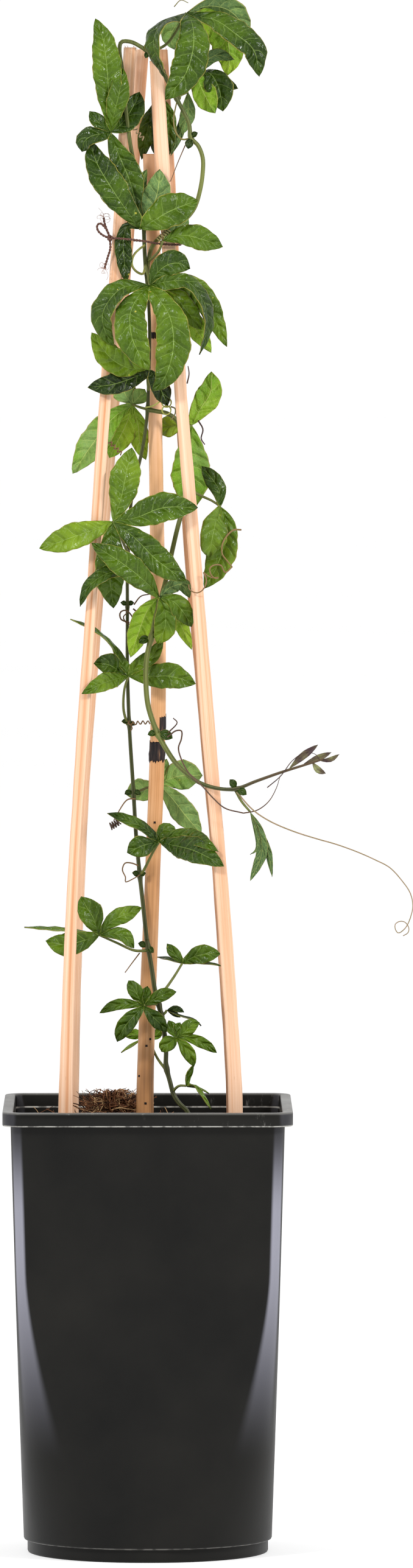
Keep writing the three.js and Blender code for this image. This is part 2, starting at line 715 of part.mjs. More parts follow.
const STIPULES = [
  { at: [22.5, -11.5, 736.5], tips: [[21, -13, 730.5], [26, -13, 739]] },
  { at: [5, -17.5, 427.5], tips: [[13, -19, 425], [0, -19, 427]] },
  { at: [45.5, -45, 400], tips: [[42.5, -46, 405], [51, -47, 397]] },
  { at: [1.5, -16, 477], tips: [[-4.5, -18, 474.5], [5, -18, 480]] },
  { at: [-10.5, -5.5, 494], tips: [[-14, -7, 495], [-7, -7, 495]] },
  { at: [-9.7, -5.5, 432.5], tips: [[-13.5, -7, 433.5], [-6.5, -7, 431.5]] },
  { at: [-7.7, -5.5, 396.5], tips: [[-12, -7, 395.5], [-3.5, -7, 395.5]] },
  { at: [-4, -6, 353], tips: [[-8, -8, 354.5], [-1, -8, 354.5]] },
  { at: [-0.5, -8.5, 316], tips: [[-5, -10, 318], [3, -10, 313]] },
  { at: [0.5, -9.5, 781], tips: [[-1.5, -11, 784.5], [-1, -11, 777.5]] },
];

// The young leaves at the tip of the side shoot, still folded together.
const FOLDED_LEAVES = [
  { width: 4.5, midrib: [[73, -47, 410.5], [80, -48, 417], [88, -48, 423]] },
  { width: 4, midrib: [[80, -47, 412.5], [88, -47, 416], [95, -46, 419]] },
  { width: 4, midrib: [[85, -47, 414], [88, -47, 410], [92, -46, 408]] },
  { width: 3, midrib: [[88, -47, 415], [94, -46, 415], [99, -46, 418]] },
];

// ---- Tie: where it is ----

// The cord goes once round all canes, from the knot and back to it, in front of one lobe.
const TIE_LOOP = [
  [-19.5, -18.8, 684.5], [-12, -20, 684], [-3, -19.6, 683], [6, -18.4, 681.5], [12.6, -17.5, 681],
  [16, -15.2, 681], [17, -9, 681], [17.6, 4, 682], [18, 13.6, 682], [16, 16.8, 682], [8, 17.6, 682],
  [-8, 19.2, 683], [-13, 19.2, 683], [-15.6, 16.6, 683], [-16.8, 8, 684], [-19.4, -6, 684],
  [-20.4, -14, 684.5], [-19.8, -18.4, 684.5],
];
const TIE_ENDS = [
  // the bow's loop
  [
    [-19.5, -19, 684.5], [-21, -20.5, 688], [-23.5, -21, 691], [-25.5, -21, 691],
    [-25.5, -21, 688.5], [-23, -20.5, 686], [-19.5, -19, 684.5],
  ],
  // the upper end
  [[-19.5, -19, 684.5], [-21.5, -19.5, 689.5], [-22.7, -19.5, 694.5]],
  // the lower end
  [[-19.5, -19, 684.5], [-19.3, -19.6, 679], [-21, -19.6, 674.5], [-22.4, -19.4, 668.5]],
];

// ---- Soil ----

function soilHeight(x, y) {
  const away = ((x - MOUND.x) ** 2 + (y - MOUND.y) ** 2) / MOUND.spread ** 2;
  const lumps = 1.2 * Math.sin(x / 7 + 1) * Math.cos(y / 9);
  return SOIL_LEVEL + lumps + MOUND.height * Math.exp(-away);
}

// The rings of the surface, as shares of the way out to the pot's wall.
const SURFACE_SHARES = [1, 0.8, 0.6, 0.4, 0.2];

function soilGeometry() {
  const inset = WALL + GAP;
  const sides = [
    footRing(FLOOR + GAP, inset),
    footRing(FOOT_HEIGHT, inset),
    ...BODY_LEVELS.map((z) => bodyRing(z, inset)),
  ];
  const surface = (share) =>
    bodyRing(SOIL_LEVEL, inset).map(({ x, y }) => {
      return new THREE.Vector3(x * share, y * share, soilHeight(x * share, y * share));
    });
  let soil = solid(loft([...sides, ...SURFACE_SHARES.map(surface)]));
  for (const cane of Object.values(CANES)) {
    soil = soil.subtract(solid(caneGeometry(cane, squareSection, GAP)));
  }
  soil = soil.subtract(solid(caneGeometry(BAMBOO, roundSection, GAP)));
  return geometryOf(soil.subtract(solid(stemInSoil(GAP))));
}

// ---- Vine: how its parts are made ----

// Half the width of a lobe at share t of its length, over its greatest half width.
const outline = (t) => Math.sin(Math.PI * t ** 1.15) ** 0.8;

// The cross rows of one lobe beyond the hub: left edge, midrib and right edge, and its tip.
function lobeRows(centre, { width, facing, midrib }) {
  const curve = new THREE.CatmullRomCurve3([centre, ...midrib.map(point)], false, "centripetal");
  const count = Math.max(2, Math.min(MOST_ROWS, Math.round(curve.getLength() / ROW)));
  const rows = [];
  for (let i = 1; i <= count; i++) {
    const t = WEB_SHARE + ((1 - WEB_SHARE) * (i - 1)) / (count - 1);
    const along = curve.getTangentAt(t);
    const up = facing.clone().addScaledVector(along, -facing.dot(along)).normalize();
    const across = along.clone().cross(up);
    const half = (width / 2) * (i < count ? outline(t) : 0);
    const middle = curve.getPointAt(t);
    const raised = middle.clone().addScaledVector(up, FOLD * half);
    const edge = (side) => raised.clone().addScaledVector(across, side * half);
    rows.push({ up, left: edge(-1), middle, right: edge(1) });
  }
  return rows;
}

// Lobes in clockwise order as seen from above, starting behind the widest opening between two of them.
function roundTheHub(centre, lobes) {
  const up = lobes.reduce((sum, { facing }) => sum.add(facing), new THREE.Vector3()).normalize();
  const level = new THREE.Vector3(1, 0, 0).addScaledVector(up, -up.x).normalize();
  const upright = up.clone().cross(level);
  const turn = ({ midrib }) => {
    const away = point(midrib[0]).sub(centre);
    return -Math.atan2(away.dot(upright), away.dot(level));
  };
  const inOrder = [...lobes].sort((a, b) => turn(a) - turn(b));
  const opening = (i) => {
    const before = inOrder[(i + inOrder.length - 1) % inOrder.length];
    const angle = turn(inOrder[i]) - turn(before);
    return angle > 0 ? angle : angle + 2 * Math.PI;
  };
  let first = 0;
  for (let i = 1; i < inOrder.length; i++) if (opening(i) > opening(first)) first = i;
  return { up, ordered: [...inOrder.slice(first), ...inOrder.slice(0, first)] };
}

// Lobes that spread from one hub as one closed sheet. Neighbours share the corner of the web between
// them, and both faces of the sheet have the same triangles.
function sheet(centre, lobes) {
  const { up: hubUp, ordered } = roundTheHub(centre, lobes);
  const rowsOf = ordered.map((one) => lobeRows(centre, one));
  for (let i = 0; i + 1 < rowsOf.length; i++) {
    const web = rowsOf[i][0].right.clone().add(rowsOf[i + 1][0].left).multiplyScalar(0.5);
    rowsOf[i][0].right = web;
    rowsOf[i + 1][0].left = web;
  }
  const upper = [];
  const lower = [];
  const add = (place, up) => {
    upper.push(place);
    lower.push(place.clone().addScaledVector(up, -BLADE));
    return upper.length - 1;
  };
  const faces = [];
  const walls = [];
  const hub = add(centre, hubUp);
  let web = null;
  for (const rows of rowsOf) {
    let left = web ?? add(rows[0].left, rows[0].up);
    let middle = add(rows[0].middle, rows[0].up);
    let right = add(rows[0].right, rows[0].up);
    faces.push([hub, middle, left], [hub, right, middle]);
    if (web === null) walls.push([hub, left]);
    web = right;
    for (const row of rows.slice(1, -1)) {
      const next = [row.left, row.middle, row.right].map((place) => add(place, row.up));
      faces.push([left, middle, next[0]], [middle, next[1], next[0]]);
      faces.push([middle, right, next[2]], [middle, next[2], next[1]]);
      walls.push([left, next[0]], [next[2], right]);
      [left, middle, right] = next;
    }
    const last = rows[rows.length - 1];
    const tip = add(last.middle, last.up);
    faces.push([left, middle, tip], [middle, right, tip]);
    walls.push([left, tip], [tip, right]);
  }
  walls.push([web, hub]);
  const under = upper.length;
  const triangles = [];
  for (const [a, b, c] of faces) triangles.push([a, b, c], [under + a, under + c, under + b]);
  for (const [a, b] of walls) triangles.push([a, b, under + b], [a, under + b, under + a]);
  return solid(fromTriangles([...upper, ...lower], triangles));
}

// A leaf: its stalk from the stem to the hub, and its lobes, in layers where they overlap.
function leaf({ stalk, hub, layers }) {
  const along = point(hub).sub(point(stalk[stalk.length - 1])).setLength(STALK_RADIUS);
  const end = point(hub).add(along).toArray();
  const sheets = layers.map((lobes, i) => sheet(point(hub).setZ(hub[2] + i * LAYER_STEP), lobes));
  return joined([solid(tube([...stalk, end], STALK_RADIUS, 4)), ...sheets]);
}

// A pair of stipules at a node of the stem.
const stipules = ({ at, tips }) =>
  sheet(
    point(at),
    tips.map((tip) => lobe(STIPULE_WIDTH, front, tip)),
  );

// A young leaf folded together at the tip of the side shoot.
const foldedLeaf = ({ width, midrib: [root, ...rest] }) => sheet(point(root), [lobe(width, front, ...rest)]);

function vineGeometry() {
  const stems = [
    solid(stemInSoil(0)),
    solid(tube(MAIN_STEM.slice(0, THICK_SPANS + 1), STEM_RADIUS, 5)),
    solid(tube(MAIN_STEM.slice(THICK_SPANS), UPPER_STEM_RADIUS, 5)),
    solid(tube(RIGHT_SHOOT, RIGHT_SHOOT_RADIUS, 5)),
    solid(tube(SIDE_SHOOT, SIDE_SHOOT_RADIUS, 5)),
  ];
  const tendrils = TENDRILS.map((route) => solid(tube(route, TENDRIL_RADIUS, 3)));
  const leaves = [...MAIN_LEAVES, ...RIGHT_LEAVES, ...SIDE_LEAVES].map(leaf);
  const small = [...STIPULES.map(stipules), ...FOLDED_LEAVES.map(foldedLeaf)];
  return geometryOf(outerBody(joined([...stems, ...tendrils, ...leaves, ...small])));
}

// ---- Tie ----

function tieGeometry() {
  const loop = solid(tube(TIE_LOOP, CORD_RADIUS, 6, 2));
  const ends = TIE_ENDS.map((route) => solid(tube(route, CORD_RADIUS, 5)));
  const knot = new THREE.SphereGeometry(KNOT_RADIUS, 8, 6);
  knot.translate(...TIE_LOOP[0]);
  return geometryOf(joined([loop, ...ends, solid(knot)]));
}

// ---- The whole ----

const finish = (color, roughness) => new THREE.MeshStandardMaterial({ color, roughness, metalness: 0 });
const POT_PLASTIC = finish(0x232321, 0.6);
const SOIL_BROWN = finish(0x3b2a1e, 0.95);
const SPLIT_BAMBOO = finish(0xe8cfa8, 0.6);
const ROUND_BAMBOO = finish(0xc49a63, 0.45);
const TIE_CORD = finish(0x8a5a48, 0.8);
const VINE_GREEN = finish(0x3f6b22, 0.45);

const group = new THREE.Group();

function place(name, geometry, material) {
  const mesh = new THREE.Mesh(geometry, material);
  mesh.name = name;
  group.add(mesh);
}

place("pot", potGeometry(), POT_PLASTIC);
place("soil", soilGeometry(), SOIL_BROWN);
for (const [name, cane] of Object.entries(CANES)) {
  place(name, caneGeometry(cane, squareSection), SPLIT_BAMBOO);
}
place("bamboo", caneGeometry(BAMBOO, roundSection), ROUND_BAMBOO);
place("tie", tieGeometry(), TIE_CORD);
place("vine", vineGeometry(), VINE_GREEN);

export default group;
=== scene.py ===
# %% [markdown]
# # A potted passion-flower vine on bamboo canes
# The plant is a young climber with palmate leaves. It stands in a tall black nursery pot and climbs four
# split-bamboo canes that lean together round one round cane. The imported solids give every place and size.
# They are loaded first and are never moved: each finer piece below stands for one of them. All lists here
# are in millimetres, because a pot and a leaf are easier to read that way, and are turned into metres once.

# %% The frame and the tools
import math
import bmesh
import bpy
import numpy as np
from mathutils import Matrix, Vector, noise


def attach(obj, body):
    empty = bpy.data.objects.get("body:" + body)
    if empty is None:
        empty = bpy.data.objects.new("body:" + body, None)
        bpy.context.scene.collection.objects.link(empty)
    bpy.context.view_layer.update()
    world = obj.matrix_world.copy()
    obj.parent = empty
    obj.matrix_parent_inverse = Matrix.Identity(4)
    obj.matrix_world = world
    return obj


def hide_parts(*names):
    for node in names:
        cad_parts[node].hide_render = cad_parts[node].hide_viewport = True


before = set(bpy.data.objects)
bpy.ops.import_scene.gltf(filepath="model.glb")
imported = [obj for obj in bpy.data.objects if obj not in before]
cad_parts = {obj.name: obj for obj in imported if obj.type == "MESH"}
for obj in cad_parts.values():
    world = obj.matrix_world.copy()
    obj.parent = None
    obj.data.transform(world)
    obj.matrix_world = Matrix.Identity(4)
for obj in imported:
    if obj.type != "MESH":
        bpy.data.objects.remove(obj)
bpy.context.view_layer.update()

MM = 0.001
print("packed parts:", sorted(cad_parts))

# %% [markdown]
# ## The photograph's viewpoint
# The pot's far rim shows only a little above its near rim, so the camera stood almost level with the
# leaves and far away. A long lens from 6.9 m gives the same narrow view. The camera turns down a little
# instead of shifting its picture, so that it also works for views from other sides.

# %% Camera
EYE = Vector((0.0019, -6.862, 0.7267))
AIM = Vector((0.0306, 0.0, 0.4004))
VIEW_HEIGHT = 0.8161  # what the picture's long side takes in at the pot

camera_data = bpy.data.cameras.new("camera")
camera_data.sensor_width = 36
camera_data.lens = 36 * (AIM - EYE).length / VIEW_HEIGHT


def turned_to(aim, place, name, data):
    """A camera or a lamp at a place, turned to face aim."""
    made = bpy.data.objects.new(name, data)
    made.location = place
    made.rotation_euler = (Vector(aim) - Vector(place)).to_track_quat("-Z", "Y").to_euler()
    bpy.context.collection.objects.link(made)
    return made


bpy.context.scene.camera = turned_to(AIM, EYE, "camera", camera_data)
print("lens:", round(camera_data.lens, 1), "mm")

# %% [markdown]
# ## Smooth lines
# Stems, canes, cords and midribs all follow a few measured points. A curve that passes through every
# point, with less swing where points are close together, keeps to the plant's real bends.

# %% A smooth line through points
def smooth(points, step):
    """Points about every `step` along a smooth line through the given ones, ends included."""
    given = np.array(points, float)
    ends = np.vstack([2 * given[0] - given[1], given, 2 * given[-1] - given[-2]])
    fine = []
    for a, b, c, d in zip(ends, ends[1:], ends[2:], ends[3:]):
        t1 = np.linalg.norm(b - a) ** 0.5
        t2 = t1 + np.linalg.norm(c - b) ** 0.5
        t3 = t2 + np.linalg.norm(d - c) ** 0.5
        for t in np.linspace(t1, t2, 12, endpoint=False):
            ab = a + (b - a) * t / t1
            bc = b + (c - b) * (t - t1) / (t2 - t1)
            cd = c + (d - c) * (t - t2) / (t3 - t2)
            abc = ab + (bc - ab) * t / t2
            bcd = bc + (cd - bc) * (t - t1) / (t3 - t1)
            fine.append(abc + (bcd - abc) * (t - t1) / (t2 - t1))
    return spaced(np.array(fine + [given[-1]]), step)


def lengths_along(line):
    return np.concatenate([[0], np.cumsum(np.linalg.norm(np.diff(line, axis=0), axis=1))])


def spaced(line, step):
    """The same line with even spacing."""
    along = lengths_along(line)
    wanted = np.linspace(0, along[-1], max(2, round(along[-1] / step) + 1))
    return np.stack([np.interp(wanted, along, line[:, i]) for i in range(3)], axis=1)


def unit(vector):
    return vector / max(np.linalg.norm(vector), 1e-9)


print("a bend of 9 and 20 mm, in steps of 5:", len(smooth([(0, 0, 0), (9, 0, 9), (9, 0, 29)], 5)), "points")


# %% Directions that follow a line without twisting
def frames_along(line):
    """For each point, the line's direction and two directions square to it."""
    ways = np.gradient(line, axis=0)
    ways /= np.linalg.norm(ways, axis=1)[:, None]
    side = unit(np.cross(ways[0], (0.3, -1, 0.2)))
    found = []
    for way in ways:
        side = unit(side - way * side.dot(way))
        found.append((way, side, np.cross(way, side)))
    return found


def wound_round(line, angles, radius):
    """A line that winds round another one, with its angle for each point."""
    wound = []
    for p, angle, (_, side, rise) in zip(line, angles, frames_along(line)):
        wound.append(p + radius * (math.cos(angle) * side + math.sin(angle) * rise))
    return np.array(wound)


coil = wound_round(smooth([(0, 0, 0), (0, 0, 9)], 1), np.linspace(0, 4 * math.pi, 10), 2)
print("two turns over 9 mm take a thread of", round(lengths_along(coil)[-1]), "mm")

# %% [markdown]
# ## From grids to pieces
# A leaf, a stem or a pot is a grid of points at heart: rows of points joined by four-sided faces. One
# small collector turns grids into a Blender object. With each face it keeps a place on the surface
# (share across, length along), so that veins and grain can follow the piece, and a tone for each grid,
# so that no two leaves have the same green.

# %% Collecting grids into a piece
class Form:
    def __init__(self):
        self.points, self.faces, self.places, self.tones = [], [], [], []

    def grid(self, rows, around=False, along=None, tone=0.5, ends=False, skip=None):
        """Rows of points joined by faces. around closes each row on itself, ends closes the first and
        last row. tone is one number or one for each row. skip(middle) tells which faces to leave out."""
        rows = np.asarray(rows, float)
        count, across = rows.shape[:2]
        first = len(self.points)
        self.points += [tuple(p) for row in rows for p in row]
        self.tones += np.repeat(np.broadcast_to(tone, count), across).tolist()
        if along is None:
            along = lengths_along(rows.mean(axis=1))
        spans = across if around else across - 1
        for i in range(count - 1):
            low, high = along[i] / 100, along[i + 1] / 100
            for j in range(spans):
                k = (j + 1) % across
                if skip and skip((rows[i, j] + rows[i, k] + rows[i + 1, j] + rows[i + 1, k]) / 4):
                    continue
                a, b = first + i * across, first + (i + 1) * across
                self.faces.append((a + j, a + k, b + k, b + j))
                u, w = j / spans, (j + 1) / spans
                self.places.append([(u, low), (w, low), (w, high), (u, high)])
        for row, turn in ((0, -1), (count - 1, 1)) if ends else ():
            self.faces.append(tuple(first + row * across + j for j in range(across))[::turn])
            self.places.append([(0.5, along[row] / 100)] * across)

    def tube(self, line, radius, sides=8, tone=0.5):
        """A round rod along a line. radius is one number or one for each point."""
        radii = np.broadcast_to(radius, len(line))
        angles = 2 * math.pi * np.arange(sides) / sides
        cosines, sines = np.cos(angles)[:, None], np.sin(angles)[:, None]
        rows = []
        for p, r, (_, side, rise) in zip(line, radii, frames_along(line)):
            rows.append(p + r * (cosines * side + sines * rise))
        self.grid(rows, around=True, along=lengths_along(line), tone=tone, ends=True)

    def piece(self, name, node, slot_name, finishes, weld=0.0, rounded=True):
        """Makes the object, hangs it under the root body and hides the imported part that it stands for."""
        mesh = bpy.data.meshes.new(name)
        mesh.from_pydata((np.array(self.points) * MM).tolist(), [], self.faces)
        places = mesh.uv_layers.new(name="place")
        places.data.foreach_set("uv", np.array([p for face in self.places for p in face]).ravel())
        mesh.attributes.new("tone", "FLOAT", "POINT").data.foreach_set("value", self.tones)
        for finish in finishes:
            mesh.materials.append(finish)
        mesh.polygons.foreach_set("use_smooth", [rounded] * len(self.faces))
        if weld:
            shape = bmesh.new()
            shape.from_mesh(mesh)
            bmesh.ops.remove_doubles(shape, verts=shape.verts, dist=weld * MM)
            shape.to_mesh(mesh)
            shape.free()
        made = bpy.data.objects.new(name, mesh)
        bpy.context.collection.objects.link(made)
        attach(made, "root")
        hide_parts(node)
        print("piece", name, "has", len(mesh.polygons), "faces")
        return made

# %% [markdown]
# ## Writing a finish
# Each finish is a small net of shader nodes round one Principled shader. Numbers that are the same all
# over, such as gloss, are set on the shader itself. What changes over the surface, such as veins, comes
# from noise and from the places kept with each face.

# %% A short way to write shader nodes
class Net:
    def __init__(self, tree):
        self.tree = tree

    def node(self, kind, inputs=(), **settings):
        made = self.tree.nodes.new("ShaderNode" + kind)
        for key, value in settings.items():
            setattr(made, key, value)
        for key, value in dict(inputs).items():
            if isinstance(value, bpy.types.NodeSocket):
                self.tree.links.new(value, made.inputs[key])
            else:
                made.inputs[key].default_value = value
        return made

    def maths(self, how, a, b=0.5, c=0.5):
        return self.node("Math", {0: a, 1: b, 2: c}, operation=how).outputs[0]

    def times(self, a, b):
        return self.maths("MULTIPLY", a, b)

    def plus(self, a, b):
        return self.maths("ADD", a, b)

    def most(self, a, b):
        return self.maths("MAXIMUM", a, b)

    def scaled(self, value, factor, added):
        return self.maths("MULTIPLY_ADD", value, factor, added)

    def off(self, value, middle):
        """How far value is from middle."""
        return self.maths("ABSOLUTE", self.maths("SUBTRACT", value, middle))

    def span(self, value, low, high, to_low=0.0, to_high=1.0, ease="SMOOTHSTEP"):
        """value between low and high, as a number from to_low to to_high."""
        inputs = {"Value": value, "From Min": low, "From Max": high, "To Min": to_low, "To Max": to_high}
        return self.node("MapRange", inputs, interpolation_type=ease).outputs[0]

    def parts(self, vector):
        """The x, y and z of a vector."""
        return self.node("SeparateXYZ", {0: vector}).outputs


# %% A finish and its patterns
class Finish(Net):
    def __init__(self, name, roughness, specular=0.5, **sockets):
        self.made = bpy.data.materials.new(name)
        self.made.use_nodes = True
        super().__init__(self.made.node_tree)
        self.shader = self.tree.nodes["Principled BSDF"]
        sockets.update(Roughness=roughness, Specular_IOR_Level=specular)
        for socket, value in sockets.items():
            self.shader.inputs[socket.replace("_", " ")].default_value = value

    def spot(self):
        """The place in space, in metres."""
        return self.node("TexCoord").outputs["Object"]

    def stretched(self, x, y, z, where=None):
        return self.node("Mapping", {"Vector": where or self.spot(), "Scale": (x, y, z)}).outputs[0]

    def noise(self, scale, detail=3.0, where=None, roughness=0.55):
        inputs = {"Vector": where or self.spot(), "Scale": scale, "Detail": detail, "Roughness": roughness}
        return self.node("TexNoise", inputs).outputs["Fac"]

    def cells(self, scale, feature="F1"):
        """The distance to the middle, or to the edge, of small cells."""
        return self.node("TexVoronoi", {"Vector": self.spot(), "Scale": scale}, feature=feature).outputs[0]

    def place(self):
        """Share across and length along (in decimetres) of the face grid."""
        return self.parts(self.node("UVMap", uv_map="place").outputs[0])

    def drawn_out(self, across, along, layer=0.0):
        """A vector for noise whose pattern is fine across the piece and drawn out along it."""
        share, length, _ = self.place()
        inputs = {0: self.times(share, across), 1: self.times(length, along), 2: layer}
        return self.node("CombineXYZ", inputs).outputs[0]

    def tone(self):
        return self.node("Attribute", attribute_name="tone").outputs["Fac"]

    def ramp(self, value, *stops):
        """Each stop is its position and a colour as screen_colour takes it."""
        made = self.node("ValToRGB", {0: value})
        marks = made.color_ramp.elements
        while len(marks) < len(stops):
            marks.new(0.5)
        for mark, (at, *colour) in zip(marks, stops):
            mark.position = at
            mark.color = (*screen_colour(*colour), 1)
        return made.outputs[0]

    def mixed(self, share, a, b, how="MIX"):
        """Colours a and b are sockets, or numbers in light values."""
        a, b = ((*colour, 1) if isinstance(colour, tuple) else colour for colour in (a, b))
        return self.node("Mix", {0: share, 6: a, 7: b}, data_type="RGBA", blend_type=how).outputs[2]

    def finish(self, colour, height=None, depth=0.2, strength=0.6, roughness=None):
        """Connects the colour, a relief whose full height is depth millimetres, and the gloss."""
        self.tree.links.new(colour, self.shader.inputs["Base Color"])
        if height is not None:
            bump = self.node("Bump", {"Height": height, "Distance": depth * MM, "Strength": strength})
            self.tree.links.new(bump.outputs[0], self.shader.inputs["Normal"])
        if roughness is not None:
            self.tree.links.new(roughness, self.shader.inputs["Roughness"])
        print("finish", self.made.name, "has", len(self.tree.nodes), "nodes")
        return self.made


def screen_colour(red, green, blue):
    """A colour as read from a screen, 0 to 255, in the light values that shaders use."""
    shares = (red / 255, green / 255, blue / 255)
    return tuple(c / 12.92 if c < 0.04045 else ((c + 0.055) / 1.055) ** 2.4 for c in shares)

# %% [markdown]
# ## The nursery pot
# The real pot is moulded in one go from thin black plastic, square at the top so that pots stand close
# together, round at the base. Rings of points, each a square with rounded corners, give that change of
# shape: the corner radius is small under the rim and almost the half width at the foot. Each bend gets
# two or three rings close together, which keeps it crisp without any modifier.

# %% The pot's rings
POT_HEIGHT, RIM_HALF, RIM_DROP, WALL, FLANGE = 234.0, 75.0, 7.2, 1.5, 4.0
BODY_TOP_HALF, BODY_BASE_HALF = RIM_HALF - FLANGE, 64.6
FOOT_HEIGHT, FOOT_HALF, FLOOR = 7.0, 62.7, 2.0
CORNER_STEPS, FLAT_STEPS = 14, 8


def rounded_square(half, corner, z):
    """One ring, anticlockwise from above."""
    ring = []
    for quarter in range(4):
        turn = Matrix.Rotation(quarter * math.pi / 2, 2)
        centre = Vector((half - corner, half - corner))
        for angle in np.linspace(0, math.pi / 2, CORNER_STEPS + 1):
            ring.append(turn @ (centre + Vector((math.cos(angle), math.sin(angle))) * float(corner)))
        start, end = ring[-1], turn @ Vector((corner - half, half))
        ring += [start.lerp(end, i / FLAT_STEPS) for i in range(1, FLAT_STEPS)]
    return [(p.x, p.y, z) for p in ring]


def body_ring(z, inset=0.0):
    share = (z - FOOT_HEIGHT) / (POT_HEIGHT - FOOT_HEIGHT)
    half = BODY_BASE_HALF + (BODY_TOP_HALF - BODY_BASE_HALF) * share
    corner = 9 + (0.96 * half - 9) * max(0, 1 - z / 150) ** 1.6
    return rounded_square(half - inset, corner - inset, z)


def foot_ring(z, inset=0.0):
    return rounded_square(FOOT_HALF - inset, (FOOT_HALF - inset) * 0.96, z)


def rim_ring(inset, z):
    return rounded_square(RIM_HALF - inset, 11 - inset, z)


levels = np.linspace(FOOT_HEIGHT + 1.6, POT_HEIGHT - RIM_DROP, 44)
under, top = POT_HEIGHT - RIM_DROP, POT_HEIGHT
rings = [foot_ring(z, inset) for z, inset in ((0, 3), (0, 0.8), (0.25, 0.25), (0.8, 0), (6.0, 0), (6.7, 0.1))]
rings += [body_ring(FOOT_HEIGHT + up, inset) for up, inset in ((0.0, 1.0), (0.3, 0.3), (0.9, 0.0))]
rings += [body_ring(z) for z in levels]
rings += [rim_ring(inset, z) for inset, z in (
    (FLANGE, top - 1.9), (FLANGE - 0.4, top - WALL), (WALL, top - WALL), (WALL, under + 0.3), (1.2, under),
    (0.3, under), (0, under + 0.35), (0, top - 0.7), (0.2, top - 0.2), (0.7, top),
    (FLANGE + 0.6, top), (FLANGE + 1.2, top - 0.3), (FLANGE + WALL, top - 1.2),
)]
rings += [body_ring(z, WALL) for z in levels[::-1]]
rings += [foot_ring(FOOT_HEIGHT, WALL), foot_ring(FLOOR + 0.6, WALL), foot_ring(FLOOR, WALL + 0.6)]
shell = Form()
shell.grid(rings, around=True)
print("pot rings join", len(shell.faces), "faces")

# %% [markdown]
# The floor is a plate with four drain holes. It is a grid of shrinking rings, whose points near a hole
# move to the hole's edge and whose faces over it are left out. The inner and the outer floor are made
# alike, and short walls join them. Thin plates under the rim stiffen it; their lower ends show as dots.

# %% The floor with its drain holes
DRAIN_RADIUS, DRAIN_RING = 4.5, 42.0
drains = [DRAIN_RING * np.array((math.cos(a), math.sin(a))) for a in math.pi / 4 + np.arange(4) * math.pi / 2]


def clear_of_drains(x, y):
    """The point itself, or the nearest one on the edge of the hole that it lies in."""
    p = np.array((x, y))
    for centre in drains:
        if np.linalg.norm(p - centre) < DRAIN_RADIUS:
            p = centre + unit(p - centre) * DRAIN_RADIUS
    return p


def over_a_drain(middle):
    return any(np.linalg.norm(middle[:2] - centre) < DRAIN_RADIUS - 0.2 for centre in drains)


ground_face = (foot_ring(0, 3), np.linspace(0.0003, 1, 40))
inner_face = (foot_ring(FLOOR, WALL + 0.6), np.linspace(1, 0.0003, 40))
for ring, shares in (ground_face, inner_face):
    plate = [[(*clear_of_drains(x * share, y * share), z) for x, y, z in ring] for share in shares]
    shell.grid(plate, around=True, skip=over_a_drain)
for centre in drains:
    turns = np.arange(24) * math.pi / 12
    circle = [centre + DRAIN_RADIUS * np.array((math.cos(a), -math.sin(a))) for a in turns]
    shell.grid([[(*p, z) for p in circle] for z in (0, FLOOR)], around=True)
print("with its floor:", len(shell.faces), "faces")

# %% The plates under the rim
gap_middle, half_gap = RIM_HALF - (FLANGE + WALL) / 2, (FLANGE - WALL) / 2 + 0.2
for side in range(4):
    turn = Matrix.Rotation(side * math.pi / 2, 3, "Z")
    for x in np.arange(-5, 6) * 11.7:
        plate = []
        for z, half in ((under + 0.6, 0.45), (top - WALL, 0.6)):
            corners = ((-half, -half_gap), (half, -half_gap), (half, half_gap), (-half, half_gap))
            plate.append([tuple(turn @ Vector((x + dx, dy - gap_middle, z))) for dx, dy in corners])
        shell.grid(plate, around=True, ends=True)
print("with the plates:", len(shell.faces), "faces")

# %% [markdown]
# Black plastic is never quite black. The mould leaves a fine grain that softens its shine, and handling
# leaves cloudy patches. The round corners get a painted pale bluish sheen, a painted reflection of bright
# surroundings, which the direction of the surface finds: there, both its x and its y part are large. The rim
# is smoother and carries pale scuffs, its top edge gets a painted highlight line, and a bright line runs
# along its lower edge and the foot.

# %% Finish: moulded black plastic
plastic = Finish("moulded_black_plastic", 0.42, 0.16)
clouds = plastic.noise(14, 4)
grain = plastic.noise(1500, 2)
height_up = plastic.parts(plastic.spot())[2]
on_rim = plastic.span(height_up, (under - 1) * MM, (under + 0.5) * MM)
at_edge = plastic.span(height_up, (top - 1.2) * MM, (top - 0.1) * MM)
scratches = plastic.noise(160, 6, where=plastic.stretched(1, 1, 0.3), roughness=0.75)
scuffed = plastic.span(scratches, 0.56, 0.74)
# A painted highlight line along the rim's top edge, with real scuffs over it.
edge_highlight_and_scuffs = plastic.times(plastic.plus(scuffed, 0.35), plastic.times(at_edge, 0.6))
rim_scuffs = plastic.times(plastic.times(scuffed, on_rim), plastic.span(clouds, 0.5, 0.6, 0, 0.35))
# Thin bright lines along the rim's lower edge and at the foot.
pale_lines = 0.0
for seam, strength in ((FOOT_HEIGHT + 0.1, 0.35), (under + 0.2, 0.9)):
    off_line = plastic.off(height_up, seam * MM)
    pale_lines = plastic.most(plastic.span(off_line, 0.0002, 0.0006, strength, 0), pale_lines)
broken = plastic.times(pale_lines, plastic.span(plastic.noise(220, 2), 0.35, 0.6, 0.25, 1))
pale = plastic.most(broken, plastic.most(edge_highlight_and_scuffs, rim_scuffs))
charcoal = plastic.ramp(clouds, (0.3, 8, 8, 7), (0.72, 24, 23, 20))
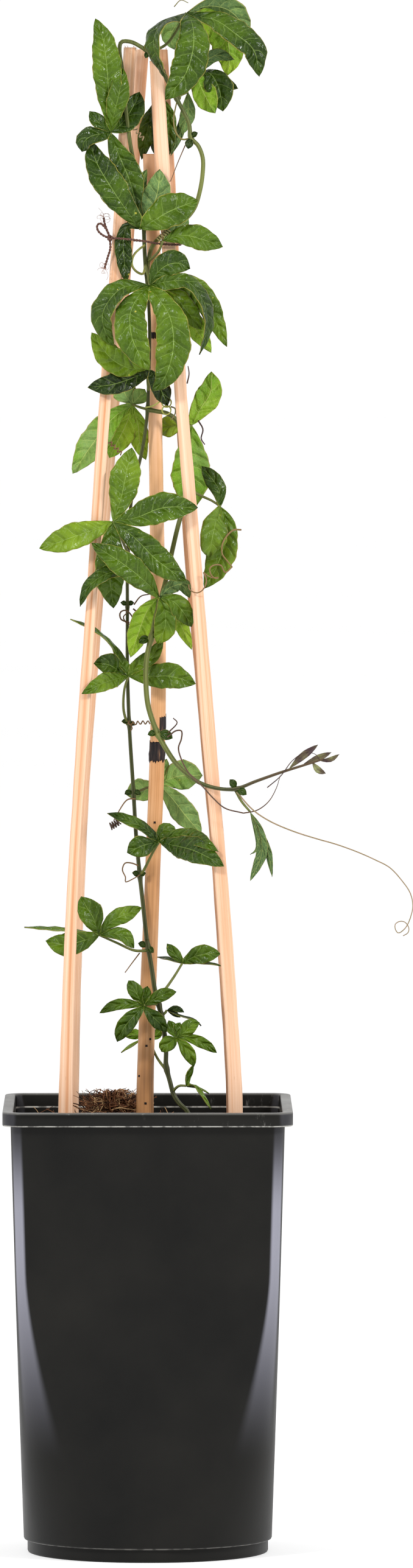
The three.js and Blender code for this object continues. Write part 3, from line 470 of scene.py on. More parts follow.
# Painted sheen: a pale bluish reflection on the round corners, brightest high on the body, gone at the foot
# and under the rim.
facing = plastic.parts(plastic.node("TexCoord").outputs["Normal"])
turned = plastic.maths("MINIMUM", plastic.maths("ABSOLUTE", facing[0]), plastic.maths("ABSOLUTE", facing[1]))
fading_down = plastic.span(height_up, 0.05, 0.17)
fading_up = plastic.span(height_up, 0.18, 0.226, 1, 0.1)
painted_sheen_height = plastic.times(fading_down, fading_up)
painted_sheen = plastic.times(plastic.span(turned, 0.3, 0.5, 0, 0.85), painted_sheen_height)
with_painted_sheen = plastic.mixed(painted_sheen, charcoal, screen_colour(146, 146, 158))
coloured = plastic.mixed(pale, with_painted_sheen, screen_colour(176, 174, 168))
soft = plastic.span(clouds, 0.3, 0.7, 0.36, 0.48)
gloss = plastic.maths("SUBTRACT", soft, plastic.times(on_rim, 0.1))
POT_PLASTIC = plastic.finish(coloured, height=grain, depth=0.06, strength=0.5, roughness=gloss)
pot = shell.piece("pot_shell", "pot", "pot_plastic", [POT_PLASTIC], weld=0.02)
print("pot height:", round(pot.dimensions.z / MM, 1), "mm, rim:", round(pot.dimensions.x / MM, 1), "mm")

# %% [markdown]
# ## The soil
# Potting soil is dark, damp and crumbly, with coir fibre pushed up in a small heap at the back left. The
# body of soil is one closed form with a lumpy top. Crumbs are small broken polyhedra laid over it, and the
# fibres are thin rods with bends of their own, because neither would read as real if it were only painted.

# %% The body of soil
SOIL_LEVEL, GAP = 221.0, 0.35
MOUND_X, MOUND_Y, MOUND_HEIGHT, MOUND_SPREAD = -18.0, 16.0, 9.0, 15.0
FIBRE_TOP = 240.0
chance = np.random.default_rng(11)


def soil_height(x, y):
    away = ((x - MOUND_X) ** 2 + (y - MOUND_Y) ** 2) / MOUND_SPREAD ** 2
    return SOIL_LEVEL + 1.2 * math.sin(x / 7 + 1) * math.cos(y / 9) + MOUND_HEIGHT * math.exp(-away)


def crumbled(x, y):
    return soil_height(x, y) + noise.fractal(Vector((x / 6, y / 6, 0)), 0.8, 2.1, 5) * 1.3


inside = WALL + GAP
around_soil = body_ring(SOIL_LEVEL, inside)
lowest = ((FLOOR + GAP, 30), (FLOOR + GAP, inside), (FOOT_HEIGHT, inside))
rings = [foot_ring(z, inset) for z, inset in lowest]
rings += [body_ring(z, inside) for z in (12, 30, 60, 95, 130, 165, 200)]
for share in np.linspace(1, 0.01, 90):
    rings.append([(x * share, y * share, crumbled(x * share, y * share)) for x, y, _ in around_soil])
earth = Form()
earth.grid(rings, around=True, ends=True)
print("soil surface faces:", len(earth.faces))

# %% Crumbs
CRUMB_LEVELS = ((-0.8, 0.5), (-0.2, 1.0), (0.5, 0.8), (0.9, 0.3))  # height and width of a crumb's rings
CRUMB_COUNT = 420
crumbs = Form()
for _ in range(CRUMB_COUNT):
    x, y = chance.uniform(-66, 66, 2)
    size = chance.uniform(0.5, 1.9)
    centre = np.array((x, y, crumbled(x, y) + size * 0.3))
    angles = chance.uniform(0, 2 * math.pi) + np.arange(6) * math.pi / 3
    rings = []
    for level, wide in CRUMB_LEVELS:
        uneven = chance.uniform(0.7, 1.25, (6, 2)) * wide
        heights = level * chance.uniform(0.6, 1.1, 6)
        ring = np.stack([np.cos(angles) * uneven[:, 0], np.sin(angles) * uneven[:, 1], heights], axis=1)
        rings.append(centre + size * ring)
    crumbs.grid(rings, around=True, ends=True, tone=chance.uniform(0, 1))
print("crumb faces:", len(crumbs.faces))

# %% A fibre that wanders
fibres = Form()


def random_way(rise, spread=0.0):
    return unit(np.array((chance.normal(0, 1), chance.normal(0, 1), chance.normal(rise, spread))))


def fibre(x, y, lift, way, length, radius, tone, wander=0.35):
    """A thin strand that wanders off from its start, stays on the soil and under the heap's top."""
    p = np.array((x, y, soil_height(x, y) + lift))
    line = [p]
    for _ in range(max(3, round(length / 3))):
        way = unit(way + chance.normal(0, wander, 3) * (1, 1, 0.5))
        p = p + way * 3
        p[:2] = np.clip(p[:2], -67, 67)
        ground = soil_height(p[0], p[1]) - 0.5
        if p[2] < ground:
            way[2] = abs(way[2]) * 0.3
        if p[2] > FIBRE_TOP:
            way[2] = -abs(way[2])
        p[2] = np.clip(p[2], ground, FIBRE_TOP)
        line.append(p)
    fine = smooth(line, 1.6)
    fibres.tube(fine, radius * np.linspace(1, 0.5, len(fine)), sides=4, tone=tone)


print("fibres stay between the soil and", FIBRE_TOP, "mm")

# %% The heap of coir and the loose roots
HEAP_FIBRES = 620
SCATTERED = {  # count, x, y, lift, rise, then what length, radius and tone lie between
    "standing in the heap": (46, (-30, -10), (8, 22), 3.0, 1.2, (6, 10), (0.2, 0.38), (0.3, 0.8)),
    "pale roots": (30, (4, 28), (-25, 25), 0.5, 0.15, (6, 18), (0.25, 0.5), (0.8, 1)),
    "strays": (90, (-62, 62), (-62, 62), 0.4, 0, (4, 16), (0.12, 0.3), (0, 1)),
}
for _ in range(HEAP_FIBRES):
    angle, out = chance.uniform(0, 2 * math.pi), abs(chance.normal(0, 11))
    x, y = MOUND_X + 1.3 * out * math.cos(angle), MOUND_Y - 2 + out * math.sin(angle)
    lift = chance.uniform(-0.5, 8) * math.exp(-(out / 12) ** 2)
    length, radius = chance.uniform(6, 18), chance.uniform(0.16, 0.45)
    fibre(x, y, lift, random_way(0.15, 0.4), length, radius, chance.uniform(0, 0.95))
for count, x_range, y_range, lift, rise, *ranges in SCATTERED.values():
    for _ in range(count):
        x, y = chance.uniform(*x_range), chance.uniform(*y_range)
        fibre(x, y, lift, random_way(rise), *(chance.uniform(*between) for between in ranges))
print("fibre faces:", len(fibres.faces), "top:", round(max(p[2] for p in fibres.points), 1), "mm")

# %% Finish: damp soil
damp = Finish("damp_soil", 0.92, 0.2)
patches = damp.noise(160, 6, roughness=0.7)
cells = damp.cells(620)
brown = damp.ramp(patches, (0.3, 18, 13, 9), (0.5, 42, 29, 20), (0.75, 80, 57, 39))
# Painted shade: the soil is darker in the pits of its relief, where the cells sink it.
shade = damp.span(cells, 0.0, 0.7, 0.45, 1.0)
painted_pit_shade = damp.node("CombineColor", {0: shade, 1: shade, 2: shade}).outputs[0]
height = damp.plus(patches, cells)
SOIL = damp.finish(damp.mixed(1.0, brown, painted_pit_shade, how="MULTIPLY"), height=height, depth=1.2, strength=0.9)
earth.piece("soil_body", "soil", "soil", [SOIL])

# %% Finish: crumbs and coir
crumb = Finish("soil_crumbs", 0.95, 0.15)
crumb_grain = crumb.noise(900, 4)
crumb_brown = crumb.ramp(
    crumb.times(crumb.plus(crumb.tone(), crumb_grain), 0.5),
    (0.2, 18, 13, 10), (0.6, 50, 35, 24), (0.9, 95, 70, 48),
)
CRUMBS = crumb.finish(crumb_brown, height=crumb_grain, depth=0.4)
crumbs.piece("soil_crumbs", "soil", "soil", [CRUMBS], rounded=False)
husk = Finish("coir_fibre", 0.85, 0.2)
strand = husk.noise(300, 2)
husk_colour = husk.ramp(
    husk.plus(husk.tone(), husk.scaled(strand, 0.35, -0.175)),
    (0.0, 34, 20, 13), (0.4, 90, 56, 36), (0.72, 134, 88, 58),
    (1.0, 196, 164, 118),
)
fibres.piece("soil_fibres", "soil", "soil", [husk.finish(husk_colour, height=strand, depth=0.1)])
print("three pieces stand for the packed soil")

# %% [markdown]
# ## The split canes
# Four sticks split and planed from thick bamboo lean together. Their section is a square with soft
# corners, which the planing leaves a little uneven, so the width wanders by a tenth of a millimetre or two.
# A grid of rings along the measured line gives that, with a clean cut at the top and a few torn fibres.

# %% The canes' measured lines
CANE_FOOT = 42.0
CANE_DEPTH = 6.0
CANES = {  # name: line, (height, width) pairs, tone
    "cane_front_left": (
        [(-42.5, -45, 232), (-38.5, -40, 354), (-34, -35, 423), (-28.5, -29, 505), (-21.5, -20.5, 606),
         (-17, -15.5, 656), (-9, -6, 783)],
        [(42, 7.4), (232, 7.4), (354, 5.6), (423, 6), (505, 5.5), (606, 6.3), (656, 6.7), (783, 6.4)], 0.8,
    ),
    "cane_front_right": (
        [(45.5, -45, 232), (44.5, -44, 260), (38, -38, 354), (32, -32, 423), (24, -24.5, 524), (17, -18, 606),
         (7.5, -9, 726), (4.5, -6, 776)],
        [(42, 7.3), (260, 7.2), (354, 6.6), (423, 7), (524, 6.5), (606, 6.5), (726, 7.6), (776, 6.8)], 0.45,
    ),
    "cane_back_left": (
        [(-39.5, 45, 227), (-36, 41.5, 350), (-32, 37, 420), (-20, 24.5, 572), (-10.5, 14.5, 683),
         (-2.5, 6, 782)],
        [(42, 6.4), (782, 6.4)], 0.5,
    ),
    "cane_back_right": (
        [(44.5, 45, 226), (37, 37, 350), (31, 31, 420), (22, 21.5, 523), (13, 12, 683), (7.5, 6, 782)],
        [(42, 6.4), (782, 6.2)], 0.1,
    ),
}
ARC_STEPS, FLAT_SPANS = 4, 8
FRONT_MIDDLE = (2 * ARC_STEPS + 1.5 * FLAT_SPANS) / 4 / (ARC_STEPS + FLAT_SPANS)


def cane_section(half, deep, corner=1.15):
    """A square with soft corners, starting at the back so that the grain's seam is out of sight."""
    quarters = ((-1, 1), (-1, -1), (1, -1), (1, 1))
    middles = [np.array((x * (half - corner), y * (deep - corner))) for x, y in quarters]
    ring = []
    for quarter, middle in enumerate(middles):
        for angle in math.pi / 2 * (1 + quarter + np.linspace(0, 1, ARC_STEPS + 1)):
            out = corner * np.array((math.cos(angle), math.sin(angle)))
            ring.append(middle + out)
        after = middles[(quarter + 1) % 4] + out
        ring += [ring[-1] + (after - ring[-1]) * i / FLAT_SPANS for i in range(1, FLAT_SPANS)]
    return ring


print("the front face's middle is at share", round(FRONT_MIDDLE, 3), "of the way round")

# %% [markdown]
# The grain of split bamboo is what shows first: fine straight stripes, cream to orange-tan, from the
# bundles in its wall. The noise is squeezed across the cane and drawn out along it, in the places kept
# with each face, so that the stripes lean with the cane. Short dark flecks are cut fibres. The left
# front cane has one orange stripe, and the cane behind on the right is darker with painted shade.

# %% Finish: split bamboo
split = Finish("split_bamboo", 0.6, 0.3)
layer = split.times(split.tone(), 17)
stripes = split.noise(1.0, 5, where=split.drawn_out(44, 0.8, layer), roughness=0.7)
bands = split.noise(1.0, 2, where=split.drawn_out(13, 0.25, layer))
flecks = split.noise(1.0, 2, where=split.drawn_out(80, 16, 3.0))
shade = split.plus(split.times(stripes, 0.5), split.times(bands, 0.5))
off_stripe = split.off(split.place()[0], FRONT_MIDDLE + 0.015)
striped = split.times(split.span(split.tone(), 0.7, 0.75), split.span(split.place()[1], 5.5, 6.6, 1, 0))
stripe = split.times(split.span(off_stripe, 0.008, 0.04, 0.16, 0), striped)
cream = split.ramp(
    split.plus(shade, stripe),
    (0.34, 229, 195, 168), (0.5, 216, 175, 144), (0.62, 206, 153, 115),
    (0.8, 188, 126, 80),
)
# Painted shade: the cane at the back right, of the lowest tone, is darkened.
behind = split.span(split.tone(), 0.15, 0.3, 0.5, 0)
shaded = split.mixed(behind, cream, screen_colour(206, 170, 134), how="MULTIPLY")
marked = split.mixed(split.span(flecks, 0.68, 0.76, 0, 0.4), shaded, screen_colour(140, 88, 46))
SPLIT_BAMBOO = split.finish(marked, height=stripes, depth=0.12, strength=0.5)

# %% Making the canes
TORN_FIBRES = 9
chance = np.random.default_rng(5)
for name, (route, widths, tone) in CANES.items():
    x, y, _ = route[0]
    line = smooth([(x, y, CANE_FOOT), (x, y, 130), *route], 4)
    phase = chance.uniform(0, 9)
    rows = []
    for x, y, z in line:
        widest = np.interp(z, *zip(*widths)) / 2 + 0.1
        half = widest - 0.1 + 0.12 * math.sin(z / 17 + phase)
        half = min(half + 0.06 * math.sin(z / 4.3 + 2 * phase), widest)
        deep = CANE_DEPTH / 2 + 0.1 * math.sin(z / 23 + 3 * phase)
        rows.append([(x + dx, y + dy, z) for dx, dy in cane_section(half, deep)])
    rows.append([(x + dx, y + dy, z + 0.15) for dx, dy in cane_section(half - 0.35, deep - 0.35, 0.9)])
    stick = Form()
    stick.grid(rows, around=True, ends=True, tone=tone)
    for _ in range(TORN_FIBRES):
        start = np.array((x + chance.uniform(-2.8, 2.8), y + chance.uniform(-2.6, 2.6), z - 1))
        bend = start + (*chance.normal(0, 0.12, 2), 1.3)
        end = start + (*chance.normal(0, 0.4, 2), chance.uniform(1.6, 2.2))
        stick.tube(smooth([start, bend, end], 0.5), 0.09, sides=3, tone=tone)
    stick.piece(name + "_wood", name, "split_bamboo", [SPLIT_BAMBOO])
    print(name, "is", round(lengths_along(line)[-1]), "mm long")

# %% [markdown]
# ## The round cane
# The fifth cane is a thin natural bamboo, so it has nodes: a small ridge every hand's breadth, and just
# above it the line where the leaf sheath sat. Black remains of that sheath still cling round one node, with
# torn lower edges. The cane is a tube whose radius follows a list; the sheath pieces are thin curved
# flakes a quarter of a millimetre off its skin.

# %% The round cane and its nodes
BAMBOO_LINE = [(-1.5, 0, 42), (-1.5, 0, 130), (-1.5, 0, 229), (-1, 0, 257), (2.5, 0, 352), (5.5, 0, 440),
               (4.5, 0, 558), (4, 0, 589), (4.5, 0, 629), (3, 0, 682), (1, 0, 728)]
BAMBOO_WIDTHS = [(42, 9.4), (229, 9.2), (257, 8.7), (352, 7.9), (440, 7.9), (558, 7.3), (728, 7)]
NODES = (150.0, 289.0, 416.0, 541.0, 632.0)
bamboo_line = smooth(BAMBOO_LINE, 1.5)


def cane_radius(z):
    radius = np.interp(z, *zip(*BAMBOO_WIDTHS)) / 2
    for node_z in NODES:
        ridge = 0.25 * math.exp(-((z - node_z) / 1.1) ** 2)
        radius += ridge - 0.15 * math.exp(-((z - node_z - 2.6) / 0.8) ** 2)
    return radius


def on_cane(z, angle, off=0.0):
    """A point on the cane's skin at that height. Angle 0 is to the right and -pi/2 to the front."""
    x, y = (np.interp(z, bamboo_line[:, 2], bamboo_line[:, i]) for i in (0, 1))
    radius = cane_radius(z) + off
    return (x + radius * math.cos(angle), y + radius * math.sin(angle), z)


TOP = bamboo_line[-1][2]
angles = math.pi / 2 + 2 * math.pi * np.arange(28) / 28
rows = [[on_cane(z, a) for a in angles] for z in bamboo_line[:, 2]]
for z, off in ((TOP, -0.3), (TOP - 0.3, -1.5), (TOP - 9, -1.7)):  # the cut end, with its hollow
    rows.append([on_cane(z, a, off) for a in angles])
cane = Form()
cane.grid(rows, around=True, ends=True)
print("nodes at", NODES, "mm; round cane", round(TOP - CANE_FOOT), "mm long")

# %% Remains of the sheath, and black specks
sheath = Form()


def flake(low, high, left, right, tears, off=0.22):
    """A torn flake of sheath on the skin, from angle left to right, with a ragged lower edge."""
    ring = np.linspace(left, right, 26)
    lower, upper = [], []
    for i in range(len(ring)):
        ragged = 0.5 + 0.5 * noise.noise(Vector((i * 0.6, low, 3))) + 0.6 * abs(math.sin(i * 2.1 + low))
        lower.append(low + tears * ragged)
        upper.append(high + 0.25 * tears * noise.noise(Vector((i * 0.5, high, 7))))
    rows = []
    for share in np.linspace(0, 1, 7):
        heights = [a + (max(a + 0.3, b) - a) * share for a, b in zip(lower, upper)]
        row = []
        for i, (z, angle) in enumerate(zip(heights, ring)):
            row.append(on_cane(z, angle, off + 0.15 * math.sin(i) * (1 - share)))
        rows.append(row)
    sheath.grid(rows)


flake(410.5, 422.5, -2.95, -0.2, 2.2)
flake(411.5, 423.0, -3.9, -2.9, 2.0)
flake(424.5, 435.5, -1.35, 0.1, 4.2)
flake(427.0, 436.5, -0.1, 1.5, 3.0)
flake(286.0, 288.5, 0.6, 2.6, 0.8, 0.12)
flake(631.5, 635.5, -3.1, 0.0, 0.8, 0.15)
for x, z in ((1.3, 267.6), (-0.7, 264.1), (-4.5, 248.3), (-1.2, 234.1), (3.6, 380.5), (2.4, 372.8)):
    middle = np.interp(z, bamboo_line[:, 2], bamboo_line[:, 0])
    angle = math.asin(max(-0.95, min(0.95, (x - middle) / cane_radius(z)))) - math.pi / 2
    flake(z - 0.7, z + 0.6, angle - 0.13, angle + 0.13, 0.2, 0.08)
print("sheath faces:", len(sheath.faces))

# %% [markdown]
# The skin of round bamboo is smooth and tan, darker towards the foot, with faint grain, brown freckles and
# a thin dark ring above each node. The rings come from the height, so they sit on the ridges.

# %% Finish: round bamboo
skin = Finish("round_bamboo_skin", 0.45, 0.35)
grain = skin.noise(1.0, 4, where=skin.drawn_out(30, 1.2))
cloudy = skin.noise(24, 3)
height_up = skin.parts(skin.spot())[2]
ripe = skin.span(height_up, 0.25, 0.6, 0.2, -0.08)
shade = skin.plus(skin.times(grain, 0.4), skin.scaled(cloudy, 0.6, ripe))
tan = skin.ramp(
    shade,
    (0.3, 232, 186, 148), (0.5, 214, 164, 118), (0.68, 186, 134, 86),
    (0.86, 140, 98, 62),
)
cells = skin.cells(190)
marks = skin.times(skin.span(cells, 0.05, 0.11, 0.8, 0), skin.span(skin.noise(60, 2), 0.56, 0.66))
for node_z in NODES:
    off_ring = skin.off(height_up, (node_z + 2.2) * MM)
    marks = skin.most(marks, skin.span(off_ring, 0.0003, 0.0009, 0.6, 0))
marked = skin.mixed(marks, tan, screen_colour(96, 60, 34))
ROUND_BAMBOO = skin.finish(marked, height=grain, depth=0.06, strength=0.4)
cane.piece("round_cane_wood", "bamboo", "round_bamboo", [ROUND_BAMBOO])

# %% Finish: the dark sheath
dark = Finish("dark_sheath", 0.65, 0.25)
torn = dark.noise(1.0, 4, where=dark.stretched(900, 900, 90))
sheath_colour = dark.ramp(torn, (0.42, 22, 18, 20), (0.62, 48, 36, 34), (0.78, 118, 88, 64))
SHEATH = dark.finish(sheath_colour, height=torn, depth=0.2)
flakes = sheath.piece("round_cane_sheath", "bamboo", "round_bamboo", [SHEATH])
flakes.modifiers.new("thickness", "SOLIDIFY").thickness = 0.15 * MM

# %% [markdown]
# ## The tie
# A brown cord of two twisted strands goes once round all canes, in front of the stems, and ends in a bow at
# the left front cane. A twisted cord is two thin rods that wind round one middle line, half a turn apart:
# real geometry, so that its edge shows the twist. Where it is cut, its fibres have opened into curls.

# %% The cord's line
TIE_LOOP = [
    (-19.5, -18.8, 684.5), (-12, -20, 684), (-3, -19.6, 683), (6, -18.4, 681.5),
    (12.6, -17.5, 681), (16, -15.2, 681), (17, -9, 681), (17.6, 4, 682), (18, 13.6, 682),
    (16, 16.8, 682), (8, 17.6, 682), (-8, 19.2, 683), (-13, 19.2, 683), (-15.6, 16.6, 683),
    (-16.8, 8, 684), (-19.4, -6, 684), (-20.4, -14, 684.5), (-19.8, -18.4, 684.5),
]
BOW = [(-19.5, -19, 684.5), (-20.6, -20.3, 687.6), (-22.6, -21, 690.6), (-24.6, -21.2, 692), (-26, -21, 691),
       (-25.8, -20.8, 688.6), (-23.6, -20.4, 686.2), (-19.5, -19.2, 684.2)]
UPPER_END = [(-19.5, -19, 684.5), (-21, -19.6, 688.5), (-22.2, -19.6, 692), (-22.7, -19.5, 694.8)]
LOWER_END = [(-19.5, -19, 684.5), (-19.3, -19.6, 679), (-20.6, -19.6, 674.5), (-22.2, -19.4, 669)]
KNOT = np.array((-19.5, -19.0, 684.5))
cord = Form()


def twisted(points, strand=0.36, off=0.3, pitch=3.1):
    """Two strands wound round the line through the points."""
    line = smooth(points, 0.4)
    for start in (0, math.pi):
        angles = start + 2 * math.pi * np.arange(len(line)) * 0.4 / pitch
        cord.tube(wound_round(line, angles, off), strand, sides=7, tone=0.45)


for points in (TIE_LOOP, BOW, UPPER_END, LOWER_END):
    twisted(points)
print("tie round the canes:", round(lengths_along(smooth(TIE_LOOP, 1))[-1]), "mm")

# %% The knot and the frayed ends
for tilt, radius in ((0.2, 1.35), (1.0, 1.5), (-0.7, 1.4)):
    turn = np.array(Matrix.Rotation(tilt, 3, "Y") @ Matrix.Rotation(0.5, 3, "X"))
    circle = np.linspace(0, 2 * math.pi, 14)
    across, upright = radius * 0.75 * np.cos(circle), radius * np.sin(circle)
    ring = np.stack([across, upright, 0.35 * np.sin(2 * circle)], axis=1)
    twisted(KNOT + ring @ turn.T)

CURL_STEPS = 9
chance = np.random.default_rng(3)


def frayed(end, way, count):
    """Fibres that curl away from a cut end."""
    for _ in range(count):
        p, heading = np.array(end, float), unit(np.array(way) + chance.normal(0, 0.6, 3))
        bend = unit(chance.normal(0, 1, 3))
        curl = [p]
        for _ in range(CURL_STEPS):
            heading = unit(heading + 0.55 * np.cross(bend, heading) + chance.normal(0, 0.1, 3))
            p = p + heading * 0.8
            curl.append(p)
        cord.tube(smooth(curl, 0.5), 0.08, sides=4, tone=chance.uniform(0.75, 1))


frayed(UPPER_END[-1], (-0.1, 0, 1), 9)
frayed(LOWER_END[-1], (-0.1, 0, -1), 11)
print("cord faces:", len(cord.faces))

# %% Finish: brown twisted cord
twine = Finish("brown_twine", 0.65, 0.3, Sheen_Weight=0.15, Sheen_Roughness=0.4)
lay = twine.noise(1.0, 3, where=twine.drawn_out(12, 90))
shade = twine.plus(twine.times(lay, 0.5), twine.times(twine.tone(), 0.5))
# The two palest stops are partly the fibres' own lighter brown and partly painted copper highlights.
brown = twine.ramp(shade, (0.3, 54, 33, 26), (0.5, 88, 56, 45), (0.62, 140, 98, 80), (0.95, 206, 172, 156))
cord.piece("tie_cord", "tie", "tie_cord", [twine.finish(brown, height=lay, depth=0.12)])

# %% [markdown]
# ## The vine's stems
# The main stem leaves the soil at the right, crosses in front of the round cane, and climbs to the top. One
# shoot forks off below the tie and arches to the right. Another hangs in front and then grows out to the
# right. Young stems are ridged, so the section is a circle with small ribs, and each stem thickens at the
# nodes where leaves sit.

# %% Where the stems go
MAIN_STEM = [
    (22, -12, 224.5), (20.5, -12, 230.5), (16.5, -12, 234.5), (13.5, -11, 239), (11.5, -10, 246),
    (9.5, -9, 254), (9.5, -9, 262), (8.5, -8.5, 272), (6, -8.5, 285), (4, -8.5, 292),
    (2, -8.5, 305), (-0.5, -8, 319.5), (-2.5, -7, 338.5), (-4, -5.5, 352), (-6, -5, 373.5),
    (-7.5, -5, 398.5), (-9.5, -5, 430.5), (-10.5, -5, 460), (-10.5, -5, 491.5), (-10.5, -6, 514),
    (-9.5, -6, 536), (-7.5, -6, 555), (-4, -6.5, 569), (-1.5, -7, 582), (0, -8, 595.5),
    (0.5, -8.5, 609), (1, -9, 624.5), (1, -9, 640.5), (0, -9, 659.5), (-1.2, -9, 672),
    (-1.8, -10, 685), (-2, -11, 700.5), (-3.5, -12, 709), (-6, -14, 719.5), (-8.5, -16, 730.5),
    (-10, -16.5, 741), (-11.5, -16, 754), (-13, -14.5, 770.5), (-14.5, -13, 782.5),
    (-13.5, -12, 786), (-8.5, -11, 786), (-3.5, -10, 783.5), (0.5, -9, 781),
]
RIGHT_SHOOT = [
    (-0.6, -9, 665), (0.3, -7.5, 672), (2.5, -6.5, 680), (8.5, -5, 686.5), (15, -6, 690.5),
    (21, -8, 695.5), (24.5, -10, 700.5), (27, -11, 708.5), (28.5, -11, 718), (28.5, -11, 726),
    (26, -11, 732.5), (22.5, -11, 736), (21.5, -11, 743.5), (18.5, -11, 750), (15, -12, 756.5),
    (12, -12, 762.5), (9.5, -12, 767), (8, -12, 771.5),
]
SIDE_SHOOT = [
    (0, -8, 595.5), (5, -9.5, 594.5), (10, -9, 593.5), (15, -8, 590), (18.5, -7.5, 583),
    (20, -7.5, 572), (20.5, -8, 560), (19.5, -9, 548), (16, -11, 536), (13, -13, 523.5),
    (9.5, -16, 507.5), (5, -17, 490.5), (1.5, -16, 476), (-0.5, -16, 467), (-1, -17, 456),
    (0, -17, 443), (2.5, -17, 434), (5, -17, 427.5), (9, -20, 420.5), (14.5, -25, 412.5),
    (20.5, -31, 407), (27.5, -38, 402.5), (37, -43, 400), (45.5, -45, 400), (56, -46, 404),
    (68.5, -47, 408.5), (78, -47, 411.5), (86, -47, 414), (90.5, -47, 415.5),
]
STEM_FOOT = 165.0
NODE_PLACES = np.array([
    (9.5, -9, 252.5), (9, -9, 267), (5.5, -8.5, 286), (7, -8, 280), (-0.5, -8.3, 315.5), (-4, -5.5, 353),
    (-7.6, -5, 396), (-9.6, -5, 432), (-10.5, -5.5, 493), (-10.5, -6, 521), (0, -8, 596), (1, -9, 668),
    (0, -10, 690), (-6, -14, 718), (0.5, -9, 781), (22, -11, 736.5), (18, -7.6, 585), (20.2, -8.3, 555),
    (1.5, -16, 476.5), (5, -17, 427.5), (45.5, -45, 400), (15, -12, 757),
])
RIBS = 5
print("nodes with leaves:", len(NODE_PLACES))

# %% Ribbed stems
stems = Form()


def ribbed(points, radii, tones):
    """A stem. Its radius and tone go evenly through the given values, and it swells where leaves sit."""
    line = smooth(points, 1.5)
    shares = np.linspace(0, 1, len(line))
    angles = np.linspace(0, 2 * math.pi, 15, endpoint=False)
    rows = []
    for p, share, (_, side, rise) in zip(line, shares, frames_along(line)):
        near = np.linalg.norm(NODE_PLACES - p, axis=1).min()
        swelling = 1 + 0.4 * math.exp(-(near / 2.2) ** 2)
        radius = np.interp(share, np.linspace(0, 1, len(radii)), radii) * swelling
        spread = radius * (1 + 0.08 * np.cos(RIBS * angles))
        rows.append(p + spread[:, None] * (np.cos(angles)[:, None] * side + np.sin(angles)[:, None] * rise))
    tone = np.interp(shares, np.linspace(0, 1, len(tones)), tones)
    stems.grid(rows, around=True, along=lengths_along(line), tone=tone, ends=True)


x, y, _ = MAIN_STEM[0]
ribbed([(x, y, STEM_FOOT), (x, y, 200), *MAIN_STEM[:12]], (1.2, 1.15), (0.3, 0.4))
ribbed(MAIN_STEM[11:19], (1.1, 0.85), (0.4, 0.45))
ribbed(MAIN_STEM[18:29], (0.85, 0.85), (0.4, 0.45))
ribbed(MAIN_STEM[28:], (1.0, 1.05), (0.55, 0.65))
ribbed(RIGHT_SHOOT, (1.1, 1.1, 1.0), (0.75, 0.85, 0.4))
ribbed(SIDE_SHOOT[:18], (1.1, 1.2, 1.35), (0.6, 0.75, 0.7))
ribbed(SIDE_SHOOT[17:], (1.35, 1.1, 0.8, 0.55), (0.75, 0.6, 0.12, 0.0))
print("stem faces:", len(stems.faces))

# %% [markdown]
# A stem is olive with paler ribs while it is young. It turns grey-green with age, and is purple-brown at
# the growing tip. The tone of each ring picks the colour, and the share across picks out the ribs.

# %% Finish: the stems
bark = Finish("vine_stem", 0.45, 0.15)
streak = bark.noise(1.0, 3, where=bark.stretched(900, 900, 60))
tone_and_noise = bark.scaled(streak, 0.3, bark.scaled(bark.tone(), 0.8, -0.08))
ridge = bark.scaled(bark.maths("COSINE", bark.times(bark.place()[0], 2 * math.pi * RIBS)), 0.5, 0.5)
skin = bark.ramp(
    tone_and_noise,
    (0.08, 72, 48, 40), (0.3, 44, 44, 28), (0.5, 60, 68, 32),
    (0.75, 104, 110, 54), (0.95, 136, 138, 78),
)
pale_ribs = bark.mixed(bark.times(ridge, 0.22), skin, screen_colour(142, 146, 96))
STEM_GREEN = bark.finish(pale_ribs, height=streak, depth=0.15)
stems.piece("vine_stems", "vine", "vine_green", [STEM_GREEN])

# %% [markdown]
# ## The shape of a leaf
# Each leaf is palmate: its lobes spread from one hub like fingers, and a short web joins neighbours. One
# grid for each lobe follows its midrib. Near the hub the grids of two neighbours share the same edge, half
# way between their midribs, and further out each edge eases over to the lobe's own outline. The blade is
# creased along the midrib, arched between midrib and margin, and a little wavy at the margin.

# %% The line and outline of one lobe
FRONT, UP_FRONT, LEFT, RIGHT = (0, -1, 0.25), (0, -0.75, 0.65), (-0.85, -0.5, 0.1), (0.85, -0.5, 0.1)
LEFT_FRONT, RIGHT_FRONT = (-0.5, -0.8, 0.3), (0.4, -0.9, 0.1)
BACK, BACK_UP, EDGE_ON = (0, 1, 0.3), (0, 0.7, 0.7), (0, -0.25, 1)
WEB_SHARE = 0.22
CREASE = 0.16
ACROSS = np.linspace(-1, 1, 13)


def outline(t):
    """Half width of a lobe at share t of its length, over its greatest half width."""
    return max(0.0, math.sin(math.pi * min(t, 1) ** 1.15)) ** 0.8


